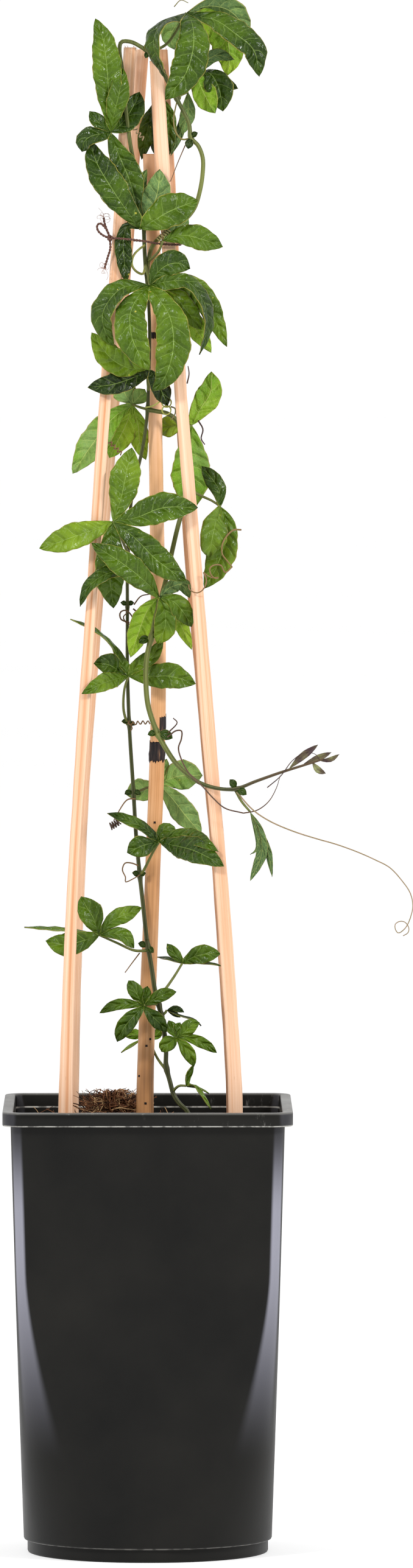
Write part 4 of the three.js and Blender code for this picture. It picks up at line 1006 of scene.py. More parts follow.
class Lobe:
    def __init__(self, hub, tone, width, facing, *midrib):
        self.tone, self.width, self.facing = tone, width, unit(np.array(facing, float))
        self.first = np.array(midrib[0], float)
        self.line = smooth([hub, *midrib], 1.0)
        self.along = lengths_along(self.line)
        self.length = self.along[-1]
        self.phase = chance.uniform(0, 6.3)

    def at(self, s):
        return np.array([np.interp(s, self.along, self.line[:, i]) for i in range(3)])

    def frame(self, s):
        way = unit(self.at(min(s + 1.5, self.length)) - self.at(max(s - 1.5, 0)))
        up = unit(self.facing - way * self.facing.dot(way))
        return up, np.cross(way, up)

    def half(self, s, turn=0):
        """Half the width. Each side, turn -1 and 1, has small irregularities of its own."""
        uneven = 0.035 * math.sin(s / 2.1 + self.phase + 2 * turn)
        uneven += 0.03 * math.sin(s / 0.9 - self.phase * turn)
        return self.width / 2 * outline(s / self.length) * (1 + uneven * abs(turn))


print("half way along, a lobe has", round(outline(0.5), 2), "of its full width")

# %% The order of lobes round their hub
def round_the_hub(hub, lobes):
    """Lobes clockwise as seen from above, starting behind the widest opening between two of them."""
    up = unit(sum(one.facing for one in lobes))
    level = unit(np.array((1.0, 0, 0)) - up * up[0])
    upright = np.cross(up, level)
    turns = [-math.atan2((one.first - hub).dot(upright), (one.first - hub).dot(level)) for one in lobes]
    order = sorted(range(len(lobes)), key=turns.__getitem__)
    openings = [(turns[i] - turns[order[k - 1]]) % (2 * math.pi) for k, i in enumerate(order)]
    start = openings.index(max(openings))
    return [lobes[i] for i in order[start:] + order[:start]]


# %% The two edges of a lobe
def lobe_edge(one, other, turn, reach, distances):
    """One edge of a lobe, shared with its neighbour up to reach. other is None where there is none."""
    out = one.frame(reach)[1]
    own = one.at(reach) + turn * out * one.half(reach)
    joint = own if other is None else (one.at(reach) + other.at(reach)) / 2
    edge = []
    for s in distances:
        out = one.frame(s)[1]
        if s > reach + 1e-6:
            ease = math.exp(-(s - reach) / (0.13 * one.length)) * (1 - s / one.length)
            edge.append(one.at(s) + turn * out * one.half(s, turn) + (joint - own) * ease)
        elif other is None:
            edge.append(one.at(s) + turn * out * one.half(reach) * (s / reach) ** 0.8)
        else:
            edge.append((one.at(s) + other.at(s)) / 2)
    return edge


# %% A whole layer of a leaf
def blade(form, hub, lobes, tones, wave=0.35):
    """Adds lobes round one hub to form. Each lobe is (width, facing, midrib points...)."""
    hub = np.array(hub, float)
    tones = np.broadcast_to(tones, len(lobes))
    lobes = round_the_hub(hub, [Lobe(hub, tone, *one) for tone, one in zip(tones, lobes)])
    lengths = [one.length for one in lobes]
    reach = min(WEB_SHARE * np.mean(lengths), 0.4 * min(lengths))
    for index, one in enumerate(lobes):
        count = max(5, round((one.length - reach) / 1.9))
        distances = [*np.linspace(0, reach, 5), *np.linspace(reach, one.length, count + 1)[1:]]
        before = lobes[index - 1] if index > 0 else None
        after = lobes[index + 1] if index + 1 < len(lobes) else None
        edges = (lobe_edge(one, before, -1, reach, distances), lobe_edge(one, after, 1, reach, distances))
        lean = 0.5 if index % 2 else -0.2
        rows = []
        for k, s in enumerate(distances):
            middle, up = one.at(s), one.frame(s)[0]
            free = min(1.0, max(0.0, (s - reach) / (0.2 * one.length)))
            row = []
            for q in ACROSS:
                span = edges[int(q > 0)][k] - middle
                wide, far = np.linalg.norm(span), abs(q)
                groove = 0.25 * math.exp(-(far / 0.1) ** 2)
                lift = wide * (CREASE * far * free + 0.09 * math.sin(math.pi * far)) - groove
                ripple = math.sin(2 * math.pi * s / 8.5 + one.phase + 1.5 * q)
                lift += wave * one.width / 14 * far ** 3 * free * ripple + lean * free * min(1, wide / 3)
                row.append(middle + span * far + up * lift * (s > 0))
            rows.append(row)
        form.grid(rows, along=distances, tone=one.tone + chance.uniform(-0.04, 0.04))


print("a lobe is widest at share", max(np.linspace(0, 1, 101), key=outline), "of its length")

# %% [markdown]
# ## The leaves that grow there
# Each leaf has its stalk, its hub and its lobes, in one or more layers where lobes lie over each other. A
# lobe gives its width, the side that it faces and the points of its midrib.

# %% Leaves of the main stem, at the top
TOP_LEAVES = {
    "crown_leaf": ([(0.5, -9, 781), (7, -8, 783), (10.5, -8, 785.5), (14.5, -9, 791)], (20, -12, 801), [
        [(14, LEFT, (9, -20, 797), (4, -24, 791), (3, -25, 783), (6, -22, 774), (11, -17, 765)),
         (18, FRONT, (23, -20, 796), (24, -26, 787), (23, -27, 779), (19, -26, 768), (9, -22, 756)),
         (16, UP_FRONT, (28, -12, 799), (36, -12, 797), (46, -14, 790), (55, -14, 782), (58, -10, 768))],
        [(15, BACK_UP, (31, -4, 805), (42, 2, 803), (49, 4, 796), (52, 4, 788)),
         (20, BACK, (31, 2, 798), (40, 6, 791), (42.5, 6, 780), (41.5, 4, 768.5)),
         (11, BACK, (15, -6, 795), (12, -3, 789), (14, -2, 782))],
    ]),
    "upper_left_leaf": ([(-6.5, -13, 718), (-12, -15, 725.5), (-16.5, -19, 732.5)], (-19, -22, 739), [
        [(15, FRONT, (-20, -24, 756), (-21, -24, 773), (-23, -22, 787), (-27, -18, 798)),
         (9, UP_FRONT, (-25, -25, 744), (-30, -24, 750)),
         (12, UP_FRONT, (-26, -27, 738), (-32, -27, 735), (-34, -24, 729)),
         (15, FRONT, (-15.5, -22, 729), (-9.5, -20, 715), (-5, -19, 699)),
         (15, FRONT, (-13, -16, 744), (-6, -13.8, 755), (-4, -13, 760))],
        [(11, FRONT, (-17, -25.5, 750), (-14.5, -26.5, 760), (-12.8, -24, 772.5))],
    ]),
    "tie_leaf": ([(-1.9, -10.6, 694), (-2.5, -16, 694)], (-4, -21, 689), [
        [(16, FRONT, (-11, -24, 699), (-19, -26, 711), (-26, -24, 723), (-30, -20, 735)),
         (18, FRONT, (3, -24, 693.5), (12, -25, 698.5), (26, -20, 704))],
        [(9, FRONT, (-10, -18.5, 691), (-12.5, -17.4, 684), (-12, -18.6, 672), (-11, -19, 661))],
        [(15, BACK, (2, -17, 699), (5.5, -17, 710), (6.1, -16, 720)),
         (9, BACK, (-2.5, -14, 702), (-3.8, -14, 712), (-0.2, -14, 720))],
    ]),
    "broad_leaf": ([(-1.1, -9, 670.5), (0, -18, 666)], (1, -24, 660), [
        [(14, FRONT, (5, -26, 666.5), (11, -27, 671), (16.5, -26, 671.5), (22, -23, 668.5)),
         (14, LEFT_FRONT, (-6.6, -29, 660), (-13, -32, 659), (-20, -33, 652.5), (-23.5, -33, 645),
          (-22, -31, 636), (-17.5, -28, 628.6)),
         (17, FRONT, (-5, -31, 654), (-9, -34.5, 645), (-8, -35.5, 633), (-4, -34, 624), (0.7, -32, 616)),
         (18, FRONT, (6, -30, 653), (11.5, -33.5, 644), (13.5, -34.5, 632), (12, -33, 621), (8, -31, 611),
          (2.5, -28, 605.5)),
         (11, RIGHT, (10, -28, 662), (20, -29, 662), (28, -28, 653), (31, -26, 641), (27, -24, 624))],
        [(12, FRONT, (12, -24, 656), (20, -23, 647), (28, -20, 637)),
         (12, FRONT, (18, -21, 662), (28, -17, 655), (35, -14, 642), (41, -12, 628))],
        [(12, BACK, (15, -23, 650), (24, -20, 639), (33, -13, 625))],
    ]),
    "dark_leaf_under_the_broad_leaf": ([(0.5, -9, 605.5), (0, -14, 612)], (1, -18, 616.5), [
        [(14, FRONT, (-9, -23, 617), (-18, -26, 621.5), (-24.5, -27, 629), (-29, -26, 635.5)),
         (12, FRONT, (-9, -23, 611.5), (-19, -26, 608.5), (-31, -25, 607.3)),
         (10, FRONT, (5, -17.5, 610), (8, -17, 603.5), (10.5, -16.5, 597.5))],
    ]),
    "backlit_leaf": ([(0, -7, 595.5), (-4, -4, 596.5)], (-8, -2, 598), [
        [(15, BACK, (-18, -5, 591), (-29, -5, 577), (-39, -4, 562)),
         (14, BACK, (-11, 0, 588), (-16, 1, 578), (-20, 1, 570)),
         (10, BACK, (-5, 1, 588), (-4, 4.5, 578), (-1, 7, 569)),
         (13, BACK, (-12, 0, 604), (-14, 2, 610)),
         (9, BACK, (-4.5, -2, 602), (-1.5, -3, 606))],
    ]),
}
print("at the top:", len(TOP_LEAVES), "leaves")

# %% Leaves of the main stem, in the middle
MIDDLE_LEAVES = {
    "star_leaf": ([(-10.5, -7, 521.5), (-13.5, -18, 528.5), (-15.5, -28, 534)], (-18, -33, 538), [
        [(16, FRONT, (-14, -32, 549), (-11, -29, 563), (-8, -25, 576)),
         (16, FRONT, (-6, -34, 540), (8, -33, 545), (26, -30, 545)),
         (14, FRONT, (-28, -37, 534), (-42, -38, 529), (-56, -34, 524)),
         (15, FRONT, (-7, -36, 530), (5, -35, 518), (20, -30, 507)),
         (16, FRONT, (-19, -34, 524), (-19.5, -32, 508), (-17.5, -30, 493))],
    ]),
    "wide_leaf": ([(-10.5, -5, 431.5), (-12.5, -8, 439.5), (-12, -10, 450.5)], (-10, -13, 457), [
        [(10, FRONT, (-17, -24, 456), (-24, -36, 454), (-34, -40, 449)),
         (13, FRONT, (-15, -14, 460), (-21, -20, 463.5), (-28, -22, 464)),
         (8, EDGE_ON, (-17, -11, 471), (-26, -13, 480), (-40, -14, 487)),
         (8, FRONT, (-5, -11, 463), (2, -9, 467), (8, -8, 476)),
         (14, FRONT, (1, -12, 457), (12, -10, 457), (25, -8, 453))],
    ]),
    "round_leaf_behind_the_bamboo": ([(-8, -5, 395.5), (-3.5, 3, 397), (1, 9, 398.5)], (6, 11, 400), [
        [(17, BACK, (14, 13, 403.5), (21, 14, 404.5), (28.5, 13, 404)),
         (13, BACK, (-1, 12, 397), (-6, 13, 396), (-11, 12, 394)),
         (13, BACK, (13, 11, 392), (20, 10, 383), (28, 8, 374)),
         (7, BACK, (8, 12, 407), (10, 12, 413))],
    ]),
    "leaf_across_the_bamboo": ([(-4, -5, 353), (-2, -8, 356), (2.5, -12, 365)], (6, -15, 371), [
        [(7, UP_FRONT, (0, -16, 377), (-10, -16, 382), (-21, -14, 386)),
         (12, FRONT, (-0.5, -18, 370), (-6, -20, 368), (-10.7, -19, 365.5)),
         (14, FRONT, (14, -23, 369.5), (24, -36, 367.5), (32, -43, 364), (39.5, -45.5, 360)),
         (8, UP_FRONT, (7, -12, 376), (11, -9, 378), (15, -7, 376))],
        [(9, FRONT, (14, -17, 375), (24, -31, 374), (31, -41.5, 371), (36.5, -44, 367.5))],
    ]),
}
print("in the middle:", len(MIDDLE_LEAVES), "leaves")

# %% Leaves of the main stem, near the soil
LOW_LEAVES = {
    "left_low_leaf": ([(0, -8, 314), (-7, -14, 314.5), (-16.5, -20, 319)], (-25, -24, 323), [
        [(13, FRONT, (-28, -23, 331.5), (-32, -21.5, 338), (-34.5, -20, 343)),
         (9, FRONT, (-19, -23, 330), (-11, -20, 334), (-3, -17, 337)),
         (9, UP_FRONT, (-19, -25, 324), (-12, -24, 322), (-7, -21, 316)),
         (13, FRONT, (-34, -23, 320), (-43, -22, 318), (-53, -22, 320))],
        [(7, EDGE_ON, (-37, -20, 325), (-50, -19, 326), (-64, -18, 327))],
    ]),
    "right_low_leaf": ([(5, -8, 288.5), (9, -5, 293.5), (14, -2, 300.5)], (18, -1, 307), [
        [(6, FRONT, (14.5, -1, 311.5), (12, -1, 314.5), (10, -1, 317.3)),
         (10, FRONT, (23, -2, 310), (30, -4, 312), (38, -4, 312))],
        [(5, EDGE_ON, (12, 2, 309), (5, 7, 310)),
         (5, EDGE_ON, (25, -1, 307), (38, -3, 306))],
    ]),
    "low_star_leaf": ([(5.5, -8, 286), (2.5, -13, 286.5)], (-2, -16, 286), [
        [(8, FRONT, (-5, -18, 291), (-8, -18, 296), (-10, -16, 299)),
         (6, FRONT, (-1, -16, 292), (0, -15, 296)),
         (7, FRONT, (3, -17, 289), (9, -17, 292), (15, -15, 293)),
         (6, FRONT, (-10, -19, 287), (-18, -19, 286), (-25, -17, 282)),
         (9, FRONT, (-6, -19, 282), (-12, -19, 275), (-16, -16, 267)),
         (8, FRONT, (1, -17, 282), (6, -16, 277), (10, -14, 272))],
    ]),
    "lowest_right_leaf": ([(9, -9, 267), (12, -12, 268.5)], (15, -15, 269), [
        [(5, FRONT, (15, -15, 273), (17, -14, 277)),
         (8, FRONT, (19, -16, 272), (23, -16, 276), (27, -14, 277)),
         (6, FRONT, (21, -16, 269), (29, -15, 266), (36, -13, 261)),
         (7, FRONT, (18, -18, 266), (22, -18, 260), (24, -16, 254)),
         (8, FRONT, (13, -19, 268), (9, -20, 265), (7, -18, 262)),
         (6, FRONT, (13, -14, 273), (11, -12, 278))],
    ]),
    "pale_leaf_behind_the_bamboo": ([(9, -9, 252.5), (5, -1, 257.5), (2, 6, 263.5)], (0, 9, 268), [
        [(6, BACK, (-6, 10, 269), (-12, 10, 268)),
         (4, EDGE_ON, (-6, 9, 265), (-14, 8, 260)),
         (6, BACK, (4, 9, 269), (7, 8, 272))],
    ]),
    "bud_leaf": ([(7, -8, 280), (9, -8, 281.5)], (10, -8, 283), [
        [(4, UP_FRONT, (14, -8, 284), (19, -8, 282)),
         (3, FRONT, (14, -6, 281), (17, -6, 279))],
        [(3, EDGE_ON, (18, -10, 280), (25, -10, 278), (28, -9, 275))],
    ]),
    "ground_leaf": ([(13, -10, 240), (14, -12, 242), (16.5, -14, 244)], (20, -15, 244), [
        [(5, RIGHT, (21, -15, 249), (24, -14, 255)),
         (4, EDGE_ON, (24, -16, 245), (28, -17, 240), (33, -17, 232)),
         (3, EDGE_ON, (25, -13, 243), (32, -12, 240))],
    ]),
}
print("near the soil:", len(LOW_LEAVES), "leaves")

# %% Leaves of the two shoots
RIGHT_LEAVES = {
    "drooping_top_leaf": ([(16.5, -10, 756.5), (18.5, -4, 764)], (25, -2, 770), [
        [(15, FRONT, (32, -4, 770), (37, -5, 762), (39, -5, 750)),
         (10, UP_FRONT, (35, 2, 768), (41, 4, 764), (47, 3, 762))],
        [(7, BACK, (35, 0, 779), (45, -2, 777)),
         (13, BACK, (28, -6, 762), (31, -8, 756), (35, -9, 749))],
    ]),
    "narrow_top_leaf": ([(15.5, -9, 757.5), (18.5, -2, 759)], (21, 0, 760), [
        [(8, BACK, (21, 2, 750), (18, 2, 738))],
        [(5, BACK, (18, 4, 743), (12, 3, 727))],
    ]),
    "leaf_among_the_cane_tops": ([(15, -10, 757), (12, -2, 760.5)], (7, 0, 758), [
        [(9, FRONT, (2, 0, 747), (-1, 0, 736), (-3, 0, 725)),
         (8, FRONT, (11, 0, 748), (11, 0, 737), (11, 0, 727))],
        [(7, LEFT, (2, -1, 751), (2, -1, 737), (4, -1, 727))],
    ]),
    "right_tie_leaf": ([(0.3, -7.5, 672), (3.5, -14, 675), (6, -20, 678)], (8, -23, 683), [
        [(13, FRONT, (18, -24, 686), (28, -22, 684), (39, -18, 680))],
        [(9, BACK, (13, -20, 687), (18, -17, 691), (21, -13, 695))],
    ]),
}
SIDE_LEAVES = {
    "pale_right_leaf": ([(17.7, -7.6, 585), (20, -3, 586)], (23, 0, 587), [
        [(13.5, BACK, (27.5, 2, 596), (32.5, 2, 604), (33.3, 0, 615)),
         (20, BACK, (22.8, 2, 574), (22.3, 2.5, 560), (21.8, 1, 541.5)),
         (13, FRONT, (17, -1, 587.5), (10.5, 4.5, 586), (4, 6.5, 585))],
    ]),
    "curled_right_leaf": ([(20.2, -8.3, 555), (27, -8, 551), (33.5, -9, 548)], (38, -10, 545), [
        [(16, RIGHT_FRONT, (35, -16, 536), (33, -18, 527), (32, -14, 519)),
         (15, FRONT, (41, -8, 537), (40, -7, 526), (36, -6, 514), (29.6, -5, 502.3)),
         (9, FRONT, (37, -7, 554), (33, -5, 560), (28, -2, 566))],
    ]),
    "hanging_leaf": ([(1.5, -16, 476.5), (3, -20, 485.5), (4.5, -26, 492.5)], (6, -30, 499), [
        [(14, FRONT, (-1, -40, 507), (-12, -44, 516), (-29, -42, 527)),
         (12, FRONT, (9, -27, 491), (9, -24, 483), (5, -20, 474)),
         (11, FRONT, (14, -28, 496), (19, -25, 490), (23, -22, 483))],
        [(8, BACK, (13, -22, 492), (18, -17, 482), (23, -14, 471)),
         (8, BACK, (12, -26, 504), (18, -24, 505), (22, -22, 498)),
         (12, BACK, (0, -24, 492), (-5, -17, 479), (-9, -14, 467))],
        [(9, UP_FRONT, (-1, -28, 506), (-11, -32, 512), (-22, -39, 511), (-31, -40, 504), (-35, -36, 494))],
    ]),
    "young_leaf": ([(45.5, -44, 399), (48.5, -43, 393.5)], (53, -42, 388), [
        [(6, BACK, (57.5, -41, 379), (59, -40, 367), (53, -40, 352))],
        [(4, BACK, (60, -39, 373), (62.5, -38, 366), (64.5, -37, 354))],
        [(2.5, BACK, (57, -43, 373), (56, -44, 368), (53, -44, 366))],
    ]),
}
print("on the shoots:", len(RIGHT_LEAVES) + len(SIDE_LEAVES), "leaves")

# %% [markdown]
# Leaf green changes with age: old leaves are dark and glossy, young ones yellowish. One number for each
# layer of a leaf, or for each lobe of it, carries that, from 0 for the darkest to 1 for the yellowest. The
# same number paints light and shade as well: low numbers are painted shade where a leaf lies in the shade,
# high ones painted light where it is sunlit, and on a lobe that turns its back, the high numbers are painted
# light shining through.

# %% Leaf tones
TONES = {
    "crown_leaf": ((0.24, 0.34, 0.28), (0.38, 0.92, 0.5)),
    "upper_left_leaf": ((0.46, 0.3, 0.24, 0.3, 0.26), 0.46), "tie_leaf": ((0.3, 0.5), 0.2, (0.46, 0.54)),
    "broad_leaf": ((0.36, 0.42, 0.46, 0.48, 0.3), (0.6, 0.52), 0.95),
    # Painted shade: the dark leaf under the broad leaf has tones near 0. Painted light: the backlit leaf has
    # high ones.
    "dark_leaf_under_the_broad_leaf": ((0.55, 0.02, 0.04),), "backlit_leaf": ((0.66, 0.85, 0.9, 0.5, 0.6),),
    "star_leaf": ((0.5, 0.46, 0.7, 0.38, 0.42),), "wide_leaf": ((0.5, 0.4, 0.46, 0.5, 0.5),),
    "round_leaf_behind_the_bamboo": (0.5,), "leaf_across_the_bamboo": (0.36, 0.5),
    "left_low_leaf": (0.46, 0.54), "right_low_leaf": (0.45, 0.3), "low_star_leaf": (0.36,),
    "lowest_right_leaf": (0.5,), "pale_leaf_behind_the_bamboo": (0.72,), "bud_leaf": (0.25, 0.15),
    "ground_leaf": (0.5,), "drooping_top_leaf": ((0.3, 0.22), (0.3, 0.85)), "narrow_top_leaf": (0.45, 0.3),
    "leaf_among_the_cane_tops": (0.4, 0.2), "right_tie_leaf": (0.52, 0.4),
    "pale_right_leaf": ((0.82, 0.7, 0.8),), "curled_right_leaf": ((0.54, 0.56, 0.36),),
    "hanging_leaf": ((0.46, 0.6, 0.5), (0.86, 0.4, 0.86), 0.22), "young_leaf": (0.3, 0.36, 0.3),
}
print("darkest layer:", min(np.min(tone) for tones in TONES.values() for tone in tones))

# %% [markdown]
# The upper side of a leaf shows a pale midrib and thin side veins that leave it towards the margin. The
# blade between them is puckered, which breaks its gloss into small patches. The under side is dull and
# grey-green, and its veins and their fine net stand out, most of all where light shines through; that light
# is painted yellow-green by high tones. The places kept with each face lead the larger veins, and a cell
# pattern makes the net.

# %% Writing the finish of one side of a leaf
VEINS_PER_DECIMETRE, NET_CELLS, SPECK_CELLS = 15, 430, 85
print("a side vein every", round(100 / VEINS_PER_DECIMETRE, 1), "mm")


def leaf_finish(name, roughness, greens, vein, margin, shares, relief, specular):
    """greens are ramp stops; shares are how strongly midrib, side veins and net show."""
    leaf = Finish(name, roughness, specular)
    across, along, _ = leaf.place()
    side = leaf.maths("ABSOLUTE", leaf.scaled(across, 2, -1))
    wander = leaf.times(leaf.noise(110, 2), 0.7)
    steps = leaf.plus(leaf.scaled(along, VEINS_PER_DECIMETRE, leaf.times(side, -0.8)), wander)
    off_vein = leaf.off(leaf.maths("FRACT", steps), 0.5)
    midrib = leaf.span(side, 0.01, 0.05, shares[0], 0)
    fading = leaf.span(side, 0.5, 0.95, 1.0, 0.1)
    veins = leaf.times(leaf.span(off_vein, 0.01, 0.05, shares[1], 0), fading)
    cells = leaf.cells(NET_CELLS, "DISTANCE_TO_EDGE")
    net = leaf.span(cells, 0.0, 0.09, shares[2], 0)
    lines = leaf.most(midrib, leaf.most(veins, net))
    cloud = leaf.noise(48, 4)
    # The tone gives the leaf's age and, leaf by leaf, painted light and shade.
    tone_and_noise = leaf.plus(leaf.tone(), leaf.scaled(cloud, 0.8, -0.4))
    veined = leaf.mixed(lines, leaf.ramp(tone_and_noise, *greens), vein)
    speck_cells = leaf.cells(SPECK_CELLS)
    specked = leaf.mixed(leaf.span(speck_cells, 0.03, 0.055, 0.75, 0), veined, screen_colour(176, 170, 64))
    ragged = leaf.plus(side, leaf.scaled(leaf.noise(170, 3), 0.12, -0.06))
    edged = leaf.mixed(leaf.span(ragged, 0.93, 0.99, 0, 0.7), specked, margin)
    pucker = leaf.noise(230, 2, where=leaf.stretched(1, 1, 0.7))
    quilted = leaf.scaled(leaf.span(off_vein, 0.0, 0.4), 0.5, pucker)
    height = leaf.scaled(lines, relief, quilted)
    patches = leaf.span(leaf.noise(90, 3), 0.35, 0.65, roughness - 0.07, roughness + 0.12)
    return leaf.finish(edged, height=height, depth=1.9, strength=0.85, roughness=patches)


# %% Finishes: the two sides of a leaf
UPPER_GREENS = (
    (0.0, 18, 32, 4), (0.28, 38, 60, 6), (0.5, 70, 96, 12),
    (0.75, 110, 136, 28), (1.0, 154, 168, 52),
)
# The two yellow-green stops at the top are painted light shining through a blade that turns its back.
UNDER_GREENS = (
    (0.0, 48, 66, 40), (0.35, 84, 112, 62), (0.55, 116, 148, 74),
    (0.72, 100, 142, 26), (1.0, 142, 172, 34),
)
LEAF_TOP = leaf_finish(
    "leaf_upper_side", 0.27, UPPER_GREENS, screen_colour(156, 184, 96), screen_colour(150, 142, 64),
    (0.42, 0.22, 0.06), -0.3, 0.2,
)
LEAF_UNDER = leaf_finish(
    "leaf_under_side", 0.55, UNDER_GREENS, screen_colour(186, 200, 110), screen_colour(166, 150, 84),
    (0.5, 0.3, 0.16), 0.3, 0.25,
)

# %% [markdown]
# Both sides need a finish of their own, so each blade is a single sheet that a thickness modifier doubles:
# the second finish in its list goes on the copy underneath.

# %% Making the leaves and their stalks
chance = np.random.default_rng(8)
BLADE_THICKNESS = 0.35
STALK_RADII = (0.8, 0.6)
stalks = Form()


def leaf_piece(name, form, finishes):
    made = form.piece(name, "vine", "vine_green", finishes, weld=0.05)
    thick = made.modifiers.new("thickness", "SOLIDIFY")
    thick.thickness = BLADE_THICKNESS * MM
    thick.offset = -1
    thick.material_offset = 1


LEAVES = {**TOP_LEAVES, **MIDDLE_LEAVES, **LOW_LEAVES, **RIGHT_LEAVES, **SIDE_LEAVES}
for name, (stalk, hub, layers) in LEAVES.items():
    leaf = Form()
    for tones, lobes in zip(TONES[name], layers, strict=True):
        blade(leaf, hub, lobes, tones)
    leaf_piece(name, leaf, [LEAF_TOP, LEAF_UNDER])
    line = smooth([*stalk, hub], 1.5)
    stalks.tube(line, np.linspace(*STALK_RADII, len(line)), tone=0.75)
stalks.piece("leaf_stalks", "vine", "vine_green", [STEM_GREEN])
print(len(LEAVES), "leaves")

# %% [markdown]
# ## Small leaves
# Two small pointed stipules clasp the stem at each node. At the tip of the side shoot the youngest
# leaves are still folded along their midribs and purplish. Both are made the way the large leaves are.

# %% Stipules
STIPULES = [
    ((22.5, -11.5, 736.5), [(21, -13, 730.5), (26, -13, 739)]),
    ((5, -17.5, 427.5), [(13, -19, 425), (0, -19, 427)]),
    ((45.5, -45, 400), [(42.5, -46, 405), (51, -47, 397)]),
    ((1.5, -16, 477), [(-4.5, -18, 474.5), (5, -18, 480)]),
    ((-10.5, -5.5, 494), [(-14, -7, 495), (-7, -7, 495)]),
    ((-9.7, -5.5, 432.5), [(-13.5, -7, 433.5), (-6.5, -7, 431.5)]),
    ((-7.7, -5.5, 396.5), [(-12, -7, 395.5), (-3.5, -7, 395.5)]),
    ((-4, -6, 353), [(-8, -8, 354.5), (-1, -8, 354.5)]),
    ((-0.5, -8.5, 316), [(-5, -10, 318), (3, -10, 313)]),
    ((0.5, -9.5, 781), [(-1.5, -11, 784.5), (-1, -11, 777.5)]),
]
ears = Form()
for at, tips in STIPULES:
    for tip in tips:
        root, point = np.array(at, float), np.array(tip, float)
        size = np.linalg.norm(point - root)
        middle = (root + point) / 2 + (0, -0.12 * size, 0.1 * size)
        blade(ears, root, [(0.62 * size + 0.4, FRONT, middle, point)], 0.22, wave=0.5)
leaf_piece("stipules", ears, [LEAF_TOP, LEAF_UNDER])

# %% Folded tip leaves
FOLDED_LEAVES = [
    (4.5, [(73, -47, 410.5), (80, -48, 417), (88, -48, 423)]),
    (4, [(80, -47, 412.5), (88, -47, 416), (95, -46, 419)]),
    (4, [(85, -47, 414), (88, -47, 410), (92, -46, 408)]),
    (3, [(88, -47, 415), (94, -46, 415), (99, -46, 418)]),
]
young = Finish("young_tip", 0.5, 0.25)
blush = young.ramp(young.noise(160, 3), (0.35, 58, 40, 42), (0.55, 88, 80, 54), (0.72, 126, 132, 84))
YOUNG_TIP = young.finish(blush, height=young.noise(900, 2), depth=0.1)
tip_leaves = Form()
for width, (root, *rest) in FOLDED_LEAVES:
    blade(tip_leaves, root, [(width * 0.85, FRONT, *rest)], 0.5, wave=0.3)
leaf_piece("folded_tip_leaves", tip_leaves, [YOUNG_TIP, YOUNG_TIP])
print("stipules:", sum(len(tips) for _, tips in STIPULES), "folded leaves:", len(FOLDED_LEAVES))

# %% [markdown]
# ## Tendrils
# The vine holds on with tendrils: thin threads that grow straight until they touch something, then wind
# round it and turn tan. They follow measured lines. The tight springs are a thread wound round a short
# axis, which a turn angle that grows along the axis gives.

# %% Threads and springs
threads = Form()


def thread(points, radius, tone=0.3, end=None):
    """A thread whose radius goes evenly from radius to end."""
    line = smooth(points, 1.0)
    threads.tube(line, np.linspace(radius, end or radius * 0.7, len(line)), sides=7, tone=tone)


def spring(axis, turns, radius, wire, tone=0.3):
    """A thread wound round an axis line."""
    line = smooth(axis, 0.4)
    fine = spaced(line, lengths_along(line)[-1] / (turns * 14))
    angles = 2 * math.pi * turns * np.arange(len(fine)) / (len(fine) - 1)
    threads.tube(wound_round(fine, angles, radius), wire, sides=6, tone=tone)


# %% [markdown]
# The tones run from 0 for dead and dark brown, over 0.35 for tan and 0.6 for pinkish brown, to 1 for a
# fresh yellow-green tendril.

# %% The long tendrils
TENDRILS = [
    [
     (46, -45, 398.5), (53, -47, 390.5), (58, -48, 386.5), (65, -49, 382.5), (76, -50, 378),
     (87, -50, 374.5), (97.5, -50, 371.5), (108.5, -50, 367.5), (117.5, -50, 363.5),
     (125, -50, 359.5), (131.5, -50, 352.5), (135.5, -50, 346.5), (137, -50, 340),
     (136, -50, 334.5), (134, -49.5, 329.5), (132, -49, 327), (129.5, -48, 325.5),
     (128, -47, 327.5), (128, -46.5, 330), (130.5, -46, 331.5), (133, -46, 331), (135, -46, 328),
     (134.5, -46.5, 325.5), (132, -47, 324),
    ],
    [
     (5, -17, 427), (9.5, -19, 425.5), (14.5, -21, 429), (17.5, -22, 429), (17.5, -22, 425),
     (16, -24, 420.5), (17.5, -29, 414.5), (21.5, -36, 407.5), (28.5, -42, 401), (34, -44, 395),
     (40, -45, 390), (49.5, -46, 387.5), (56.5, -46, 389), (62.5, -46, 393.5), (66.5, -46, 400.5),
     (68.5, -47, 407),
    ],
    [
     (22, -11, 736), (18, -10, 735.5), (14.8, -9.5, 739), (13.5, -9.5, 745.5), (14.5, -10.5, 752),
     (15.5, -12, 756),
    ],
]
LONG, LOOPED, BESIDE = TENDRILS
thread(LONG, 0.4, 0.6, 0.24)
thread(LOOPED[:12], 0.42, 0.12, 0.36)
thread(LOOPED[11:], 0.36, 0.12, 0.15)
thread(BESIDE, 0.5, 0.45)
print("long tendril:", round(lengths_along(smooth(LONG, 1))[-1]), "mm")

